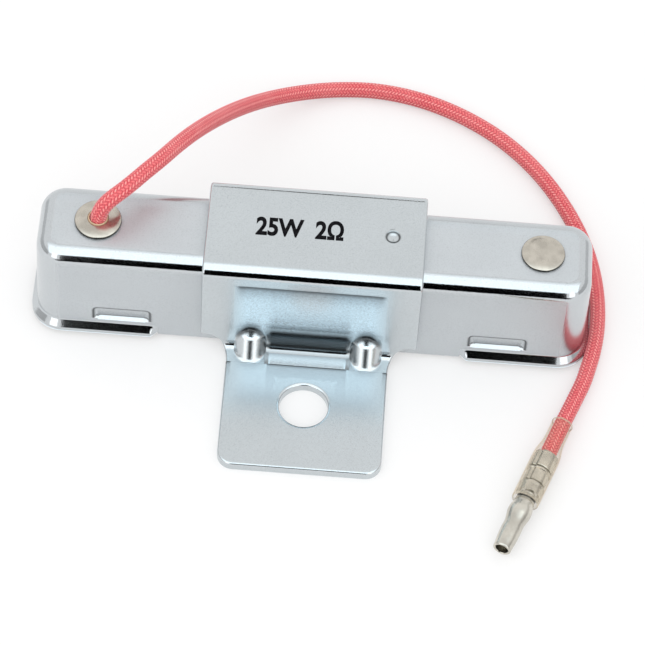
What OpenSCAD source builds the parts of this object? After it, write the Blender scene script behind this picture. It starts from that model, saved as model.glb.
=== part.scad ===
/* [Housing] */
// Length of the drawn housing over its end walls, at the base
housing_len = 102; // [96:0.5:110]
// Width of the housing over its long walls, at the base
housing_w = 17.3; // [16.5:0.1:20]
// Height of the housing's top face above the mounting plane
housing_top = 23.2; // [22:0.1:26]
// Height of the flange's underside above the mounting plane
housing_lift = 1.1; // [0.6:0.1:1.8]
// Thickness of the housing's sheet
sheet = 0.8; // [0.6:0.05:0.9]
// Draft of the drawn walls, in degrees
draft = 1; // [0.5:0.25:2]
// Outside radius along the top edge
edge_r = 3; // [2:0.1:3.5]
// Outside radius of the upright corners
corner_r = 5; // [4.6:0.1:6]

/* [Flange] */
// How far the flange stands out past the wall
flange_reach = 1; // [0.6:0.1:1.2]
// Outside radius of the flare from the wall to the flange
flare_r = 2.6; // [2.2:0.05:3]
// Length of the flange along a long wall, from the housing's end
flange_len = 23; // [21:0.5:26]
// Height of the trimmed wall's lower edge above the mounting plane
skirt_z = 0.8; // [0.4:0.1:1.2]

/* [Crimp beads] */
// Length of each pressed bead
bead_len = 11; // [8:0.5:14]
// Distance of a bead's middle from the housing's end
bead_inset = 16.2; // [14.5:0.1:18]
// Height of a bead's lower edge above the flare
bead_up = 0.1; // [0.1:0.1:2]
// Height of a bead
bead_h = 3.7; // [2.8:0.1:4.5]
// Height of the short ledge under the bead's valley
bead_ledge = 0.6; // [0.4:0.1:1.2]
// Depth of a bead's valley
bead_depth = 0.75; // [0.5:0.05:0.85]
// Radius of a bead's outline at its corners
bead_corner_r = 1.2; // [0.6:0.1:1.3]

/* [Bracket] */
// Width of the strap over the housing
strap_w = 40; // [36:0.5:44]
// Thickness of the bracket's sheet
strap_t = 1.8; // [1.4:0.1:2.2]
// Inside radius of the strap's two top bends
strap_r = 0.6; // [0.4:0.1:1.2]
// Reach of the bend between the strap and the foot, along each of them
foot_r = 3.6; // [2.8:0.1:4.4]
// Radius of the coined corner between the front leg and the foot
coin_r = 2.8; // [2:0.1:3.2]
// Height above the coined strip at which the corner leaves the front leg
coin_rise = 2.4; // [1.6:0.1:2.6]
// Depth of the coined strip along the foot's bend
coin_depth = 0.1; // [0.05:0.05:0.2]
// Width of the foot
foot_w = 30; // [28:0.5:33]
// Radius of the foot's front corners
foot_corner_r = 3; // [1:0.5:6]
// Radius of the corners at the lower end of the back leg
back_corner_r = 2; // [1:0.5:5]
// Diameter of the mounting hole
hole_d = 9; // [6:0.1:11]
// Distance from the hole to the housing's centreline
hole_to_axis = 22.7; // [21:0.1:26]
// Distance from the hole to the foot's front edge
hole_to_edge = 13.8; // [9:0.1:18]
// Radius of the notches where the strap narrows to the foot
notch_r = 4.4; // [3.6:0.1:4.8]
// Distance between the two stiffening darts in the foot bend
dart_pitch = 21.5; // [16:0.5:24]
// Width of a dart
dart_w = 5.9; // [5.4:0.1:6.4]
// Height of a dart's crest on the strap, above the foot
dart_rise = 5; // [4.6:0.1:5.6]
// Reach of a dart's crest on the foot, in front of the strap
dart_run = 3.4; // [3.1:0.1:4]
// Distance of the stake mark from the bracket's middle
stake_x = 14; // [8:0.5:17]
// Diameter of the stake mark
stake_d = 2.8; // [2:0.1:3.5]
// Depth of the stake mark
stake_depth = 0.5; // [0.2:0.05:0.8]

/* [Eyelet and bushing] */
// Distance of the lead's eyelet from the housing's end
eyelet_inset = 11.2; // [9:0.1:14]
// Diameter of the eyelet's head
eyelet_d = 8.6; // [7.5:0.1:9]
// Height of the eyelet's rim
eyelet_rim = 0.25; // [0.15:0.05:0.4]
// Rise of the eyelet's dome above its rim
eyelet_dome = 0.75; // [0.4:0.05:1]
// Diameter of the hole through the eyelet
eyelet_bore = 4.3; // [4.1:0.1:4.8]
// Thickness of the eyelet's wall
eyelet_wall = 0.5; // [0.4:0.05:0.7]
// Diameter of the eyelet's clinched lower rim
eyelet_clinch_d = 7.2; // [6.6:0.1:7.6]
// Height of the bushing above the housing's top face
bush_rise = 1.3; // [1:0.1:2]
// Depth of the bushing below the housing's top face
bush_depth = 2.2; // [1.5:0.1:2.6]

/* [Ground rivet] */
// Distance of the rivet from the housing's end
rivet_inset = 9.5; // [8:0.1:12]
// Diameter of the rivet's head
rivet_d = 8; // [7:0.1:9]
// Height of the rivet head's rim
rivet_rim = 0.25; // [0.15:0.05:0.4]
// Rise of the rivet's dome above its rim
rivet_dome = 0.65; // [0.4:0.05:1]
// Diameter of the rivet's shank
rivet_shank_d = 3.2; // [2.6:0.1:4]
// Diameter of the rivet's closed tail
rivet_tail_d = 5; // [4.4:0.1:6]
// Height of the rivet's closed tail
rivet_tail_h = 0.9; // [0.6:0.1:1.3]

/* [Resistor core] */
// Diameter of the ceramic rod
core_d = 9; // [7:0.1:9.4]
// Distance of the ceramic rod's ends from the housing's ends
core_inset = 3; // [2.4:0.1:8]
// Height of the rod's axis above the mounting plane
core_z = 11.6; // [10.5:0.1:12]
// Diameter of the resistance wire
wire_d = 0.8; // [0.5:0.05:0.9]
// Turns of the resistance wire
wire_turns = 15; // [9:1:18]
// Distance of a terminal band's middle from the housing's end
band_inset = 16; // [15:0.5:18]
// Width of a terminal band
band_w = 6; // [4:0.5:8]
// Thickness of a terminal band
band_t = 0.8; // [0.5:0.05:0.9]
// Width of a band's tongue
tongue_w = 7; // [6:0.1:8]
// Height of the lead band's tongue above the rod
tongue_lift = 1.9; // [1.4:0.1:2.1]
// Diameter of the lead's copper conductor
conductor_d = 1.4; // [1:0.1:1.8]
// Height of the cement's open face above the flange's underside
cement_recess = 1.2; // [0.6:0.1:2]

/* [Lead] */
// Diameter of the braided lead
cord_d = 3; // [2.6:0.1:3.1]
// Length of the clear sleeve
sleeve_len = 18.4; // [17.6:0.1:19]
// Length of the sleeve's narrow end over the lead
sleeve_neck = 4; // [2:0.1:6]
// Outside diameter of the sleeve's narrow end
sleeve_neck_d = 4.2; // [4.1:0.05:4.4]
// Outside diameter of the sleeve over the crimp
sleeve_d = 5.2; // [5.2:0.02:5.4]
// Thickness of the sleeve
sleeve_t = 0.25; // [0.2:0.01:0.25]

/* [Bullet terminal] */
// Distance from the sleeve's rim to the crimp barrel
crimp_at = 7.8; // [7:0.1:8.5]
// Length of the crimp barrel
crimp_len = 3.8; // [3:0.1:5]
// Diameter of the crimp barrel
crimp_d = 4.4; // [4:0.05:4.6]
// Diameter of the stem between the crimp and the shoulder
stem_d = 3.9; // [3.4:0.05:4.2]
// Distance from the sleeve's rim to the bullet's shoulder
shoulder_at = 14.9; // [14:0.1:16]
// Diameter of the bullet's shoulder
shoulder_d = 4.6; // [4.4:0.02:4.6]
// Distance from the sleeve's rim to the swell in front of the sleeve
swell_at = 21; // [20.4:0.1:21.5]
// Diameter of the collar at the sleeve's end
collar_d = 4.4; // [4.1:0.05:4.5]
// Diameter of the swell
swell_d = 4.6; // [4.4:0.05:4.8]
// Distance from the sleeve's rim to the waist
waist_at = 23.7; // [23:0.1:24.2]
// Diameter of the waist
waist_d = 3.84; // [3.5:0.02:3.9]
// Distance from the sleeve's rim to the barrel
barrel_at = 25; // [24.6:0.1:25.6]
// Length of the barrel
barrel_len = 2.2; // [1.6:0.1:3]
// Diameter of the barrel
bullet_d = 4; // [3.9:0.05:4.2]
// Distance from the sleeve's rim to the bullet's tip
tip_at = 29.5; // [28.8:0.1:31]
// Diameter of the bullet's tip
tip_d = 3.3; // [2.8:0.05:3.6]
// Diameter of the hole in the tip
tip_bore = 2.3; // [1.6:0.05:2.5]
// Depth of the hole in the tip
tip_bore_depth = 4; // [2:0.5:5]

/* [Hidden] */
$fn = 64;

// Facets of the shallow domes
dome_fn = 320;
// Clearance between pieces that seat on each other
seat_gap = 0.05;
// Clearance round what the cement was cast over
cast_gap = 0.1;
// Clearance under the turns of the resistance wire
wire_gap = 0.15;
// Overlap that lets a cut run clear of a face
over = 1;

// Housing: the corner axes carry one radial section round the plan
span_x = housing_len - 2 * corner_r;
span_y = housing_w - 2 * corner_r;
base_z = housing_lift + sqrt(pow(flare_r + sheet, 2) - pow(flare_r - flange_reach, 2));
bead_z = base_z + bead_up;
inner_top = housing_top - sheet;
flange_gap = housing_len - 2 * flange_len;
bead_pitch = housing_len - 2 * bead_inset;
eyelet_x = housing_len / 2 - eyelet_inset;
rivet_x = housing_len / 2 - rivet_inset;

// Bracket: the strap hugs the housing, its front leg turns out into the foot
strap_in = housing_w / 2 + seat_gap;
strap_out = strap_in + strap_t;
strap_top = housing_top + seat_gap + strap_t;
strap_outer_r = strap_r + strap_t;
wall_front = hole_to_axis - strap_out;
bend_y = wall_front - foot_r;
bend_z = strap_t + foot_r;
dart_lean = atan2(dart_run, dart_rise);
dart_reach = dart_rise * sin(dart_lean);
stake_sphere_r = (pow(stake_d / 2, 2) + pow(stake_depth, 2)) / (2 * stake_depth);

// Core: bands and winding lie on the rod
core_r = core_d / 2;
core_len = housing_len - 2 * core_inset;
band_pitch = housing_len - 2 * band_inset;
band_in = core_r + seat_gap;
band_out = band_in + band_t;
wire_path_r = core_r + wire_gap + wire_d / 2;
winding_r = max(band_out, wire_path_r + wire_d / 2);
lead_tongue_z = core_z + core_r + tongue_lift;
ground_tongue_z = inner_top - seat_gap - band_t;
bush_out = eyelet_bore / 2 - seat_gap;
bush_in = cord_d / 2 + cast_gap;

// Resistance wire: rings for each turn and sides of its tube
wire_steps = 14;
wire_sides = 6;
// Lead: rings between two route points and sides of its tube
cord_steps = 2;
cord_sides = 8;

// Lead's route from inside the eyelet to the crimp, lying on the mounting plane behind the housing
cord_route = [
    [-39.8, 22.7, 19.6], [-39.8, 22.7, 21.5], [-39.8, 22.7, 23.4], [-39.2, 22.9, 26.5],
    [-37.8, 23.6, 28.8], [-35.6, 24.9, 30.2], [-32.4, 27.6, 30.6], [-29.7, 32.3, 29.8],
    [-26.7, 38.5, 27.2], [-23.3, 46.2, 22.5], [-19.5, 54.3, 16.5], [-15.3, 62, 10.5],
    [-10.8, 68.1, 5.5], [-5.9, 72.2, 2.5], [-0.9, 74.3, 1.5], [4.2, 75.1, 1.5],
    [9.3, 75.2, 1.5], [14.4, 74.6, 1.5], [19.4, 73.3, 1.5], [24.3, 71.4, 1.5],
    [29, 69, 1.5], [33.4, 66, 1.5], [37.6, 62.6, 1.5], [41.4, 58.4, 1.5],
    [44.7, 53.8, 1.5], [47.6, 48.9, 1.5], [49.9, 44.2, 1.5], [52, 38.6, 1.5],
    [53.3, 33, 1.5], [53.8, 27, 1.5], [53.8, 21, 1.5], [53.1, 15, 1.5],
    [51.2, 9.6, 1.6], [49.2, 4.1, 2.1], [47.6, -0.25, 2.6], [45.8, -5.13, 2.6],
    [44.28, -9.26, 2.6]
];
// Sleeve's rim on the lead, and the way the terminal points, in degrees from +X
terminal_at = [47.6, -0.25, sleeve_d / 2];
terminal_heading = 249.75;
// Depth of the lead's end in the crimp barrel
crimp_hold = 1.9;

function unit(v) = v / norm(v);

// Point on the smooth curve through four neighbouring route points
function blend(a, b, c, d, t) =
    ((2 * b) + (c - a) * t + (2 * a - 5 * b + 4 * c - d) * t * t
        + (3 * b - a - 3 * c + d) * t * t * t) / 2;

// Smooth path with the given number of steps between two points
function smooth(pts, steps) = concat(
    [for (i = [0 : len(pts) - 2], k = [0 : steps - 1])
        blend(pts[max(i - 1, 0)], pts[i], pts[i + 1], pts[min(i + 2, len(pts) - 1)], k / steps)],
    [pts[len(pts) - 1]]
);

// Direction of a path at each of its points
function headings(path) = [
    for (i = [0 : len(path) - 1])
        unit(path[min(i + 1, len(path) - 1)] - path[max(i - 1, 0)])
];

function level(n, t) = unit(n - t * (n * t));

// Side vectors carried along a path without twist
function sides_of(dirs, first) = [
    for (i = 0, n = level(first, dirs[0]); i < len(dirs);
        i = i + 1, n = i < len(dirs) ? level(n, dirs[i]) : n) n
];

// Radial distance of the housing's wall from its corner axis
function wall_r(z, inset) = corner_r - (z - base_z) * tan(draft) - inset;

// Place of the housing's long wall, measured from the centreline
function wall_y(z, inset) = span_y / 2 + wall_r(z, inset);

// Tube of round section along a path
module tube(path, r, sides, first) {
    dirs = headings(path);
    normals = sides_of(dirs, first);
    points = [
        for (i = [0 : len(path) - 1], j = [0 : sides - 1])
            path[i] + r * (cos(360 * j / sides) * normals[i]
                + sin(360 * j / sides) * cross(dirs[i], normals[i]))
    ];
    last = (len(path) - 1) * sides;
    walls = [
        for (i = [0 : len(path) - 2], j = [0 : sides - 1])
            [i * sides + j, (i + 1) * sides + j,
                (i + 1) * sides + (j + 1) % sides, i * sides + (j + 1) % sides]
    ];
    caps = [[for (j = [0 : sides - 1]) j], [for (j = [sides - 1 : -1 : 0]) last + j]];
    polyhedron(points, concat(walls, caps), convexity = 8);
}

// Radial section of the drawn form, from a floor height up to its top
module form_section(inset, floor_z) {
    top = housing_top - inset;
    r = edge_r - inset;
    cz = top - r;
    cr = wall_r(cz, inset) - r / cos(draft);
    polygon([
        [0, floor_z], [wall_r(floor_z, inset), floor_z],
        [cr + r * cos(draft), cz + r * sin(draft)], [cr, cz], [cr, top], [0, top]
    ]);
    intersection() {
        translate([cr, cz]) circle(r);
        translate([0, cz]) square([corner_r, r]);
    }
}

// Radial section of the sheet: top plate, wall, flare and flange
module sheet_section() {
    difference() {
        form_section(0, base_z);
        form_section(sheet, base_z - over);
    }
    intersection() {
        translate([corner_r + flare_r, base_z]) difference() {
            circle(flare_r + sheet);
            circle(flare_r);
        }
        translate([corner_r - sheet, housing_lift - over])
            square([sheet + flange_reach, base_z - housing_lift + over]);
    }
}

// Carries a radial section round the four corner axes
module round_plan() {
    translate([0, hole_to_axis, 0]) for (sx = [-1, 1]) {
        translate([0, sx * span_y / 2, 0]) rotate([90, 0, sx * 90])
            linear_extrude(span_x, center = true) children();
        translate([sx * span_x / 2, 0, 0]) rotate([90, 0, sx > 0 ? 0 : 180])
            linear_extrude(span_y, center = true) children();
        for (sy = [-1, 1])
            translate([sx * span_x / 2, sy * span_y / 2, 0])
                rotate([0, 0, sx > 0 ? (sy > 0 ? 0 : 270) : (sy > 0 ? 90 : 180)])
                    rotate_extrude(angle = 90) children();
    }
}

// Block between the corner axes
module plan_block(z0, z1) {
    translate([-span_x / 2, hole_to_axis - span_y / 2, z0]) cube([span_x, span_y, z1 - z0]);
}

// Repeats a piece at the four beads, with the wall's outside along +Y
module at_beads() {
    for (sx = [-1, 1], sy = [-1, 1])
        translate([sx * bead_pitch / 2, hole_to_axis, 0]) mirror([0, sy < 0 ? 1 : 0, 0]) children();
}

// Outline of a bead with rounded corners, grown by a margin
module bead_outline(grow) {
    w = bead_len + 2 * grow;
    h = bead_h + 2 * grow;
    r = bead_corner_r + grow;
    square([w - 2 * r, h], center = true);
    square([w, h - 2 * r], center = true);
    for (sx = [-1, 1], sy = [-1, 1]) translate([sx * (w / 2 - r), sy * (h / 2 - r)]) circle(r);
}

// Prism of a bead: a long ramp down to the valley over a short ledge
module bead_prism(inset, back, grow) {
    valley_z = bead_z + bead_ledge;
    low = bead_z - grow;
    high = bead_z + bead_h + grow;
    intersection() {
        rotate([90, 0, 90]) linear_extrude(bead_len + 2 * grow, center = true) polygon([
            [wall_y(high, inset) + back, high], [wall_y(high, inset), high],
            [wall_y(valley_z, inset) - bead_depth - grow, valley_z],
            [wall_y(low, inset), low], [wall_y(low, inset) + back, low]
        ]);
        translate([0, housing_w, bead_z + bead_h / 2]) rotate([90, 0, 0])
            linear_extrude(housing_w) bead_outline(grow);
    }
}

// Part of the plan outside a long wall where the flange is trimmed off
module flange_trim() {
    reach = flange_reach + over;
    half = flange_gap / 2;
    for (s = [-1, 1])
        translate([0, hole_to_axis, housing_lift - over]) mirror([0, s < 0 ? 1 : 0, 0])
            linear_extrude(base_z - housing_lift + over)
                polygon([[-half, housing_w / 2], [half, housing_w / 2],
                    [half + reach, housing_w / 2 + reach], [-half - reach, housing_w / 2 + reach]]);
}

// Straight lower edge of the long walls between the flange's ends
module skirt() {
    for (s = [-1, 1])
        translate([-flange_gap / 2, hole_to_axis + s * (housing_w - sheet) / 2 - sheet / 2, skirt_z])
            cube([flange_gap, sheet, base_z - skirt_z]);
}

// Upright cylinder between two heights
module post(x, r, z0, z1) {
    translate([x, hole_to_axis, z0]) cylinder(r = r, h = z1 - z0);
}

module housing() {
    color("#c8cdd0") difference() {
        union() {
            round_plan() sheet_section();
            plan_block(inner_top, housing_top);
            at_beads() bead_prism(sheet, sheet / 2, sheet / 2);
            skirt();
        }
        at_beads() bead_prism(0, over, 0);
        flange_trim();
        post(-eyelet_x, eyelet_bore / 2 + eyelet_wall + seat_gap, inner_top - over, housing_top + over);
        post(rivet_x, rivet_shank_d / 2 + seat_gap, inner_top - over, housing_top + over);
    }
}

// Upright arch with two rounded top corners, standing on the mounting plane
module arch(half_w, h, r) {
    translate([-half_w, 0]) square([2 * half_w, h - r]);
    translate([r - half_w, 0]) square([2 * half_w - 2 * r, h]);
    for (s = [-1, 1]) translate([s * (half_w - r), h - r]) circle(r);
}

// Room over the coined bend: a shallow strip along the foot and a tight corner under the leg
module coin_room() {
    floor_z = strap_t - coin_depth;
    difference() {
        translate([bend_y, floor_z]) square([foot_r, bend_z - floor_z]);
        translate([wall_front - coin_r, floor_z]) difference() {
            square([coin_r, coin_rise]);
            translate([0, coin_rise]) circle(coin_r);
        }
    }
}

// Section of the bracket's sheet: back leg, top, front leg, bend and foot
module strap_section() {
    translate([hole_to_axis, 0]) difference() {
        arch(strap_out, strap_top, strap_outer_r);
        translate([0, -over]) arch(strap_in, strap_top - strap_t + over, strap_r);
        translate([-strap_out - over, -over]) square([strap_t + 2 * over, bend_z + over]);
    }
    difference() {
        intersection() {
            translate([bend_y, bend_z]) circle(foot_r + strap_t);
            translate([bend_y, 0]) square([foot_r + strap_t, bend_z]);
        }
        coin_room();
    }
    translate([-hole_to_edge, 0]) square([hole_to_edge + bend_y, strap_t]);
}

// Cutter that rounds an outside corner at the origin, with the sheet towards -X and -Y
module corner_cutter(r, h) {
    translate([-r, -r, 0]) difference() {
        cube([r + over, r + over, h]);
        cylinder(r = r, h = h);
    }
}

// Barrel of a stiffening dart, leaning across the bend's inner corner
module dart_barrel(r) {
    translate([0, wall_front, strap_t]) rotate([-dart_lean, 0, 0])
        translate([0, dart_w / 2 - dart_reach, 0]) cylinder(r = r, h = 4 * dart_w, center = true);
}

// Cuts that narrow the strap to the foot, with a round notch and a square shoulder on each side
module foot_sides() {
    notch_x = foot_w / 2 + notch_r;
    drop = 2 * hole_to_axis + hole_to_edge;
    for (s = [-1, 1])
        mirror([s < 0 ? 1 : 0, 0, 0]) translate([0, bend_y, strap_t]) rotate([45, 0, 0]) {
            translate([notch_x, 0, -drop]) cylinder(r = notch_r, h = 2 * drop);
            translate([notch_x, -drop, -drop]) cube([strap_w, drop + notch_r, 2 * drop]);
            translate([foot_w / 2, -drop, -drop]) cube([strap_w, drop, 2 * drop]);
        }
}

module bracket() {
    color("#c3ccd1") difference() {
        union() {
            rotate([90, 0, 90]) linear_extrude(strap_w, center = true) strap_section();
            for (s = [-1, 1]) intersection() {
                translate([s * dart_pitch / 2, 0, 0]) dart_barrel(dart_w / 2);
                translate([-strap_w / 2, wall_front - 2 * dart_w, strap_t - coin_depth])
                    cube([strap_w, 2 * dart_w, 2 * dart_w]);
            }
        }
        for (s = [-1, 1]) translate([s * dart_pitch / 2, 0, 0]) dart_barrel(dart_w / 2 - strap_t);
        foot_sides();
        translate([0, 0, -over]) cylinder(d = hole_d, h = strap_t + 2 * over);
        for (s = [-1, 1]) mirror([s < 0 ? 1 : 0, 0, 0]) {
            translate([foot_w / 2, -hole_to_edge, -over]) rotate([0, 0, -90])
                corner_cutter(foot_corner_r, strap_t + 2 * over);
            translate([strap_w / 2, hole_to_axis + strap_out + over, 0]) rotate([90, 0, 0])
                mirror([0, 1, 0]) corner_cutter(back_corner_r, strap_t + 2 * over);
        }
        translate([stake_x, hole_to_axis, strap_top + stake_sphere_r - stake_depth])
            sphere(r = stake_sphere_r);
    }
}

// Section of a domed head standing on the housing
module dome_section(r, rim, rise) {
    ball_r = (r * r + rise * rise) / (2 * rise);
    square([r, rim]);
    intersection() {
        translate([0, rim + rise - ball_r]) circle(ball_r, $fn = dome_fn);
        translate([0, rim]) square([r, rise]);
    }
}

module lead_eyelet() {
    tube_r = eyelet_bore / 2 + eyelet_wall;
    color("#cdc6bc") translate([-eyelet_x, hole_to_axis, housing_top]) rotate_extrude() difference() {
        union() {
            dome_section(eyelet_d / 2, eyelet_rim, eyelet_dome);
            translate([0, -sheet - eyelet_wall]) square([tube_r, sheet + eyelet_wall]);
            translate([0, -sheet - seat_gap - eyelet_wall]) square([eyelet_clinch_d / 2, eyelet_wall]);
        }
        translate([0, -sheet - 2 * eyelet_wall])
            square([eyelet_bore / 2, sheet + 2 * eyelet_wall + eyelet_rim + eyelet_dome + over]);
    }
}

module lead_bushing() {
    color("#d7b48c") translate([-eyelet_x, hole_to_axis, housing_top - bush_depth]) rotate_extrude()
        translate([bush_in, 0]) square([bush_out - bush_in, bush_depth + bush_rise]);
}

module ground_rivet() {
    tail_z = -sheet - 2 * seat_gap - band_t - rivet_tail_h;
    color("#c3baac") translate([rivet_x, hole_to_axis, housing_top]) rotate_extrude() {
        dome_section(rivet_d / 2, rivet_rim, rivet_dome);
        translate([0, tail_z]) square([rivet_shank_d / 2, -tail_z]);
        translate([0, tail_z + rivet_tail_h - seat_gap]) mirror([0, 1])
            dome_section(rivet_tail_d / 2, rivet_tail_h / 2, rivet_tail_h / 2 - seat_gap);
    }
}

// Lays a piece made along +Z on the rod's axis, along +X
module on_rod() {
    translate([0, hole_to_axis, core_z]) rotate([0, 90, 0]) children();
}

module ceramic_core() {
    color("#e9e4da") on_rod() cylinder(r = core_r, h = core_len, center = true);
}

module resistance_wire() {
    reach = (band_pitch - band_w - wire_d) / 2 - wire_gap;
    count = wire_turns * wire_steps;
    path = [
        for (i = [0 : count])
            [-reach + 2 * reach * i / count, hole_to_axis + wire_path_r * cos(360 * i / wire_steps),
                core_z + wire_path_r * sin(360 * i / wire_steps)]
    ];
    color("#8d8a86") tube(path, wire_d / 2, wire_sides, [1, 0, 0]);
}

// Terminal band: a ring on the rod, a folded ear and a tongue with a hole
module band(x, hole_x, tongue_z, hole_r) {
    ear_z = core_z + band_in;
    near = min(x - band_w / 2, hole_x);
    far = max(x + band_w / 2, hole_x);
    difference() {
        union() {
            translate([x, 0, 0]) on_rod() cylinder(r = band_out, h = band_w, center = true);
            translate([x - band_w / 2, hole_to_axis - band_t, ear_z])
                cube([band_w, 2 * band_t, tongue_z + band_t - ear_z]);
            translate([near, hole_to_axis - tongue_w / 2, tongue_z]) cube([far - near, tongue_w, band_t]);
            post(hole_x, tongue_w / 2, tongue_z, tongue_z + band_t);
        }
        translate([x, 0, 0]) on_rod() cylinder(r = band_in, h = band_w + over, center = true);
        post(hole_x, hole_r, tongue_z - over, tongue_z + band_t + over);
    }
}

module lead_band() {
    color("#b9a06a")
        band(-band_pitch / 2, -eyelet_x, lead_tongue_z, conductor_d / 2 + seat_gap);
}

module ground_band() {
    color("#b9a06a")
        band(band_pitch / 2, rivet_x, ground_tongue_z, rivet_shank_d / 2 + seat_gap);
}

module lead_conductor() {
    color("#b8703f") post(-eyelet_x, conductor_d / 2, lead_tongue_z - conductor_d / 2, cord_route[0][2]);
}

// Room that the cement leaves round a band
module band_room(x, hole_x, tongue_z) {
    near = min(x - band_w / 2, hole_x) - cast_gap;
    far = max(x + band_w / 2, hole_x) + cast_gap;
    translate([x - band_w / 2 - cast_gap, hole_to_axis - band_t - cast_gap, core_z])
        cube([band_w + 2 * cast_gap, 2 * (band_t + cast_gap), tongue_z - core_z + over]);
    translate([near, hole_to_axis - tongue_w / 2 - cast_gap, tongue_z - cast_gap])
        cube([far - near, tongue_w + 2 * cast_gap, inner_top - tongue_z + over]);
    post(hole_x, tongue_w / 2 + cast_gap, tongue_z - cast_gap, inner_top + over);
}

module cement_fill() {
    floor_z = housing_lift + cement_recess;
    inset = sheet + seat_gap;
    tail_z = ground_tongue_z - rivet_tail_h - seat_gap - cast_gap;
    color("#d9d6cf") difference() {
        union() {
            round_plan() intersection() {
                form_section(inset, base_z - over);
                translate([0, max(floor_z, base_z)]) square([corner_r, housing_top]);
            }
            if (floor_z < base_z) {
                round_plan() translate([0, floor_z]) square([corner_r - inset, base_z - floor_z]);
            }
            plan_block(floor_z, housing_top - inset);
        }
        at_beads() bead_prism(inset, over, sheet / 2 + seat_gap);
        on_rod() cylinder(r = core_r + cast_gap, h = core_len + 2 * cast_gap, center = true);
        on_rod() cylinder(r = winding_r + cast_gap, h = band_pitch + band_w + 2 * cast_gap, center = true);
        band_room(-band_pitch / 2, -eyelet_x, lead_tongue_z);
        band_room(band_pitch / 2, rivet_x, ground_tongue_z);
        post(-eyelet_x, conductor_d / 2 + cast_gap, lead_tongue_z - conductor_d / 2 - cast_gap, inner_top);
        post(-eyelet_x, eyelet_clinch_d / 2 + cast_gap, inner_top - 2 * eyelet_wall, inner_top);
        post(rivet_x, rivet_tail_d / 2 + cast_gap, tail_z, inner_top);
    }
}

module lead_cord() {
    color("#e45f69") tube(smooth(cord_route, cord_steps), cord_d / 2, cord_sides, [0, 1, 0]);
}

// Turns a piece made along +X from the sleeve's rim to where the terminal lies
module at_terminal() {
    translate(terminal_at) rotate([0, 0, terminal_heading]) rotate([0, 90, 0]) children();
}

module terminal_sleeve() {
    neck_r = sleeve_neck_d / 2;
    full_r = sleeve_d / 2;
    color("#d4c4aa", 0.5) at_terminal() rotate_extrude() polygon([
        [neck_r - sleeve_t, 0], [neck_r, 0], [neck_r, sleeve_neck], [full_r, crimp_at],
        [full_r, sleeve_len], [full_r - sleeve_t, sleeve_len], [full_r - sleeve_t, crimp_at],
        [neck_r - sleeve_t, sleeve_neck]
    ]);
}

module terminal_bullet() {
    collar_at = sleeve_len - sleeve_t;
    color("#beb9ab") at_terminal() rotate_extrude() difference() {
        polygon([
            [0, crimp_at], [crimp_d / 2, crimp_at], [crimp_d / 2, crimp_at + crimp_len],
            [stem_d / 2, crimp_at + crimp_len], [stem_d / 2, shoulder_at],
            [shoulder_d / 2, shoulder_at], [shoulder_d / 2, collar_at - sleeve_t],
            [collar_d / 2, collar_at], [collar_d / 2, (sleeve_len + swell_at) / 2],
            [swell_d / 2, swell_at], [waist_d / 2, waist_at], [bullet_d / 2, barrel_at],
            [bullet_d / 2, barrel_at + barrel_len], [tip_d / 2, tip_at], [0, tip_at]
        ]);
        translate([0, tip_at - tip_bore_depth]) square([tip_bore / 2, tip_bore_depth + over]);
        translate([0, crimp_at - over]) square([cord_d / 2 + cast_gap, crimp_hold + over]);
    }
}

housing();
bracket();
lead_eyelet();
lead_bushing();
ground_rivet();
ceramic_core();
resistance_wire();
lead_band();
ground_band();
lead_conductor();
cement_fill();
lead_cord();
terminal_sleeve();
terminal_bullet();
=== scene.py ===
import math

import bmesh
import bpy
import numpy as np
from mathutils import Matrix


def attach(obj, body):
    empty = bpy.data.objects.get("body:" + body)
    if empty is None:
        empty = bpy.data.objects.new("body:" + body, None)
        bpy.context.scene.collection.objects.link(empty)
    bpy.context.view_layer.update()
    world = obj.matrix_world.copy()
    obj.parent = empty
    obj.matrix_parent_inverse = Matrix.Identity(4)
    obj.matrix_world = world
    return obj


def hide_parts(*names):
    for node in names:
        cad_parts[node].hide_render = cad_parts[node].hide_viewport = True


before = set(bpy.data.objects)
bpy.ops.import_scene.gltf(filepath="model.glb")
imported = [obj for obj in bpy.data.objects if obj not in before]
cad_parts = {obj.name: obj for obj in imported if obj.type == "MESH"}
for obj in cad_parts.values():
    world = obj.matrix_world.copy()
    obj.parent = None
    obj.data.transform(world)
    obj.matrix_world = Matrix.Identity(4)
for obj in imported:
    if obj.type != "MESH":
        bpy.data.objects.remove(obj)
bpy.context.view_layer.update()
mm = 0.001  # the sizes below are millimetres, Blender's are metres
print("frame loaded:", len(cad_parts), "nodes")


# camera

photoView = {
    "azimuth": 0.41, "elevation": 55.40, "roll": 4.01,  # degrees
    "fieldOfView": 10.652, "distance": 649.57,
    "aim": (2.28, 21.10, -1.61),
    "clip": (0.01, 20),  # metres
}


def addObject(name, data):
    made = bpy.data.objects.new(name, data)
    bpy.context.scene.collection.objects.link(made)
    return made


def lookAxes(azimuth, elevation):
    # right axis level, up axis across the other two, back axis from azimuth and elevation
    az, el = math.radians(azimuth), math.radians(elevation)
    back = np.array([math.sin(az) * math.cos(el), -math.cos(az) * math.cos(el), math.sin(el)])
    level = np.array([math.cos(az), math.sin(az), 0.0])
    return level, np.cross(back, level), back


def aimObject(thing, right, up, back, place):
    placed = np.eye(4)
    placed[:3] = np.stack([right, up, back, place * mm], -1)
    thing.matrix_world = Matrix(placed.tolist())


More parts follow.
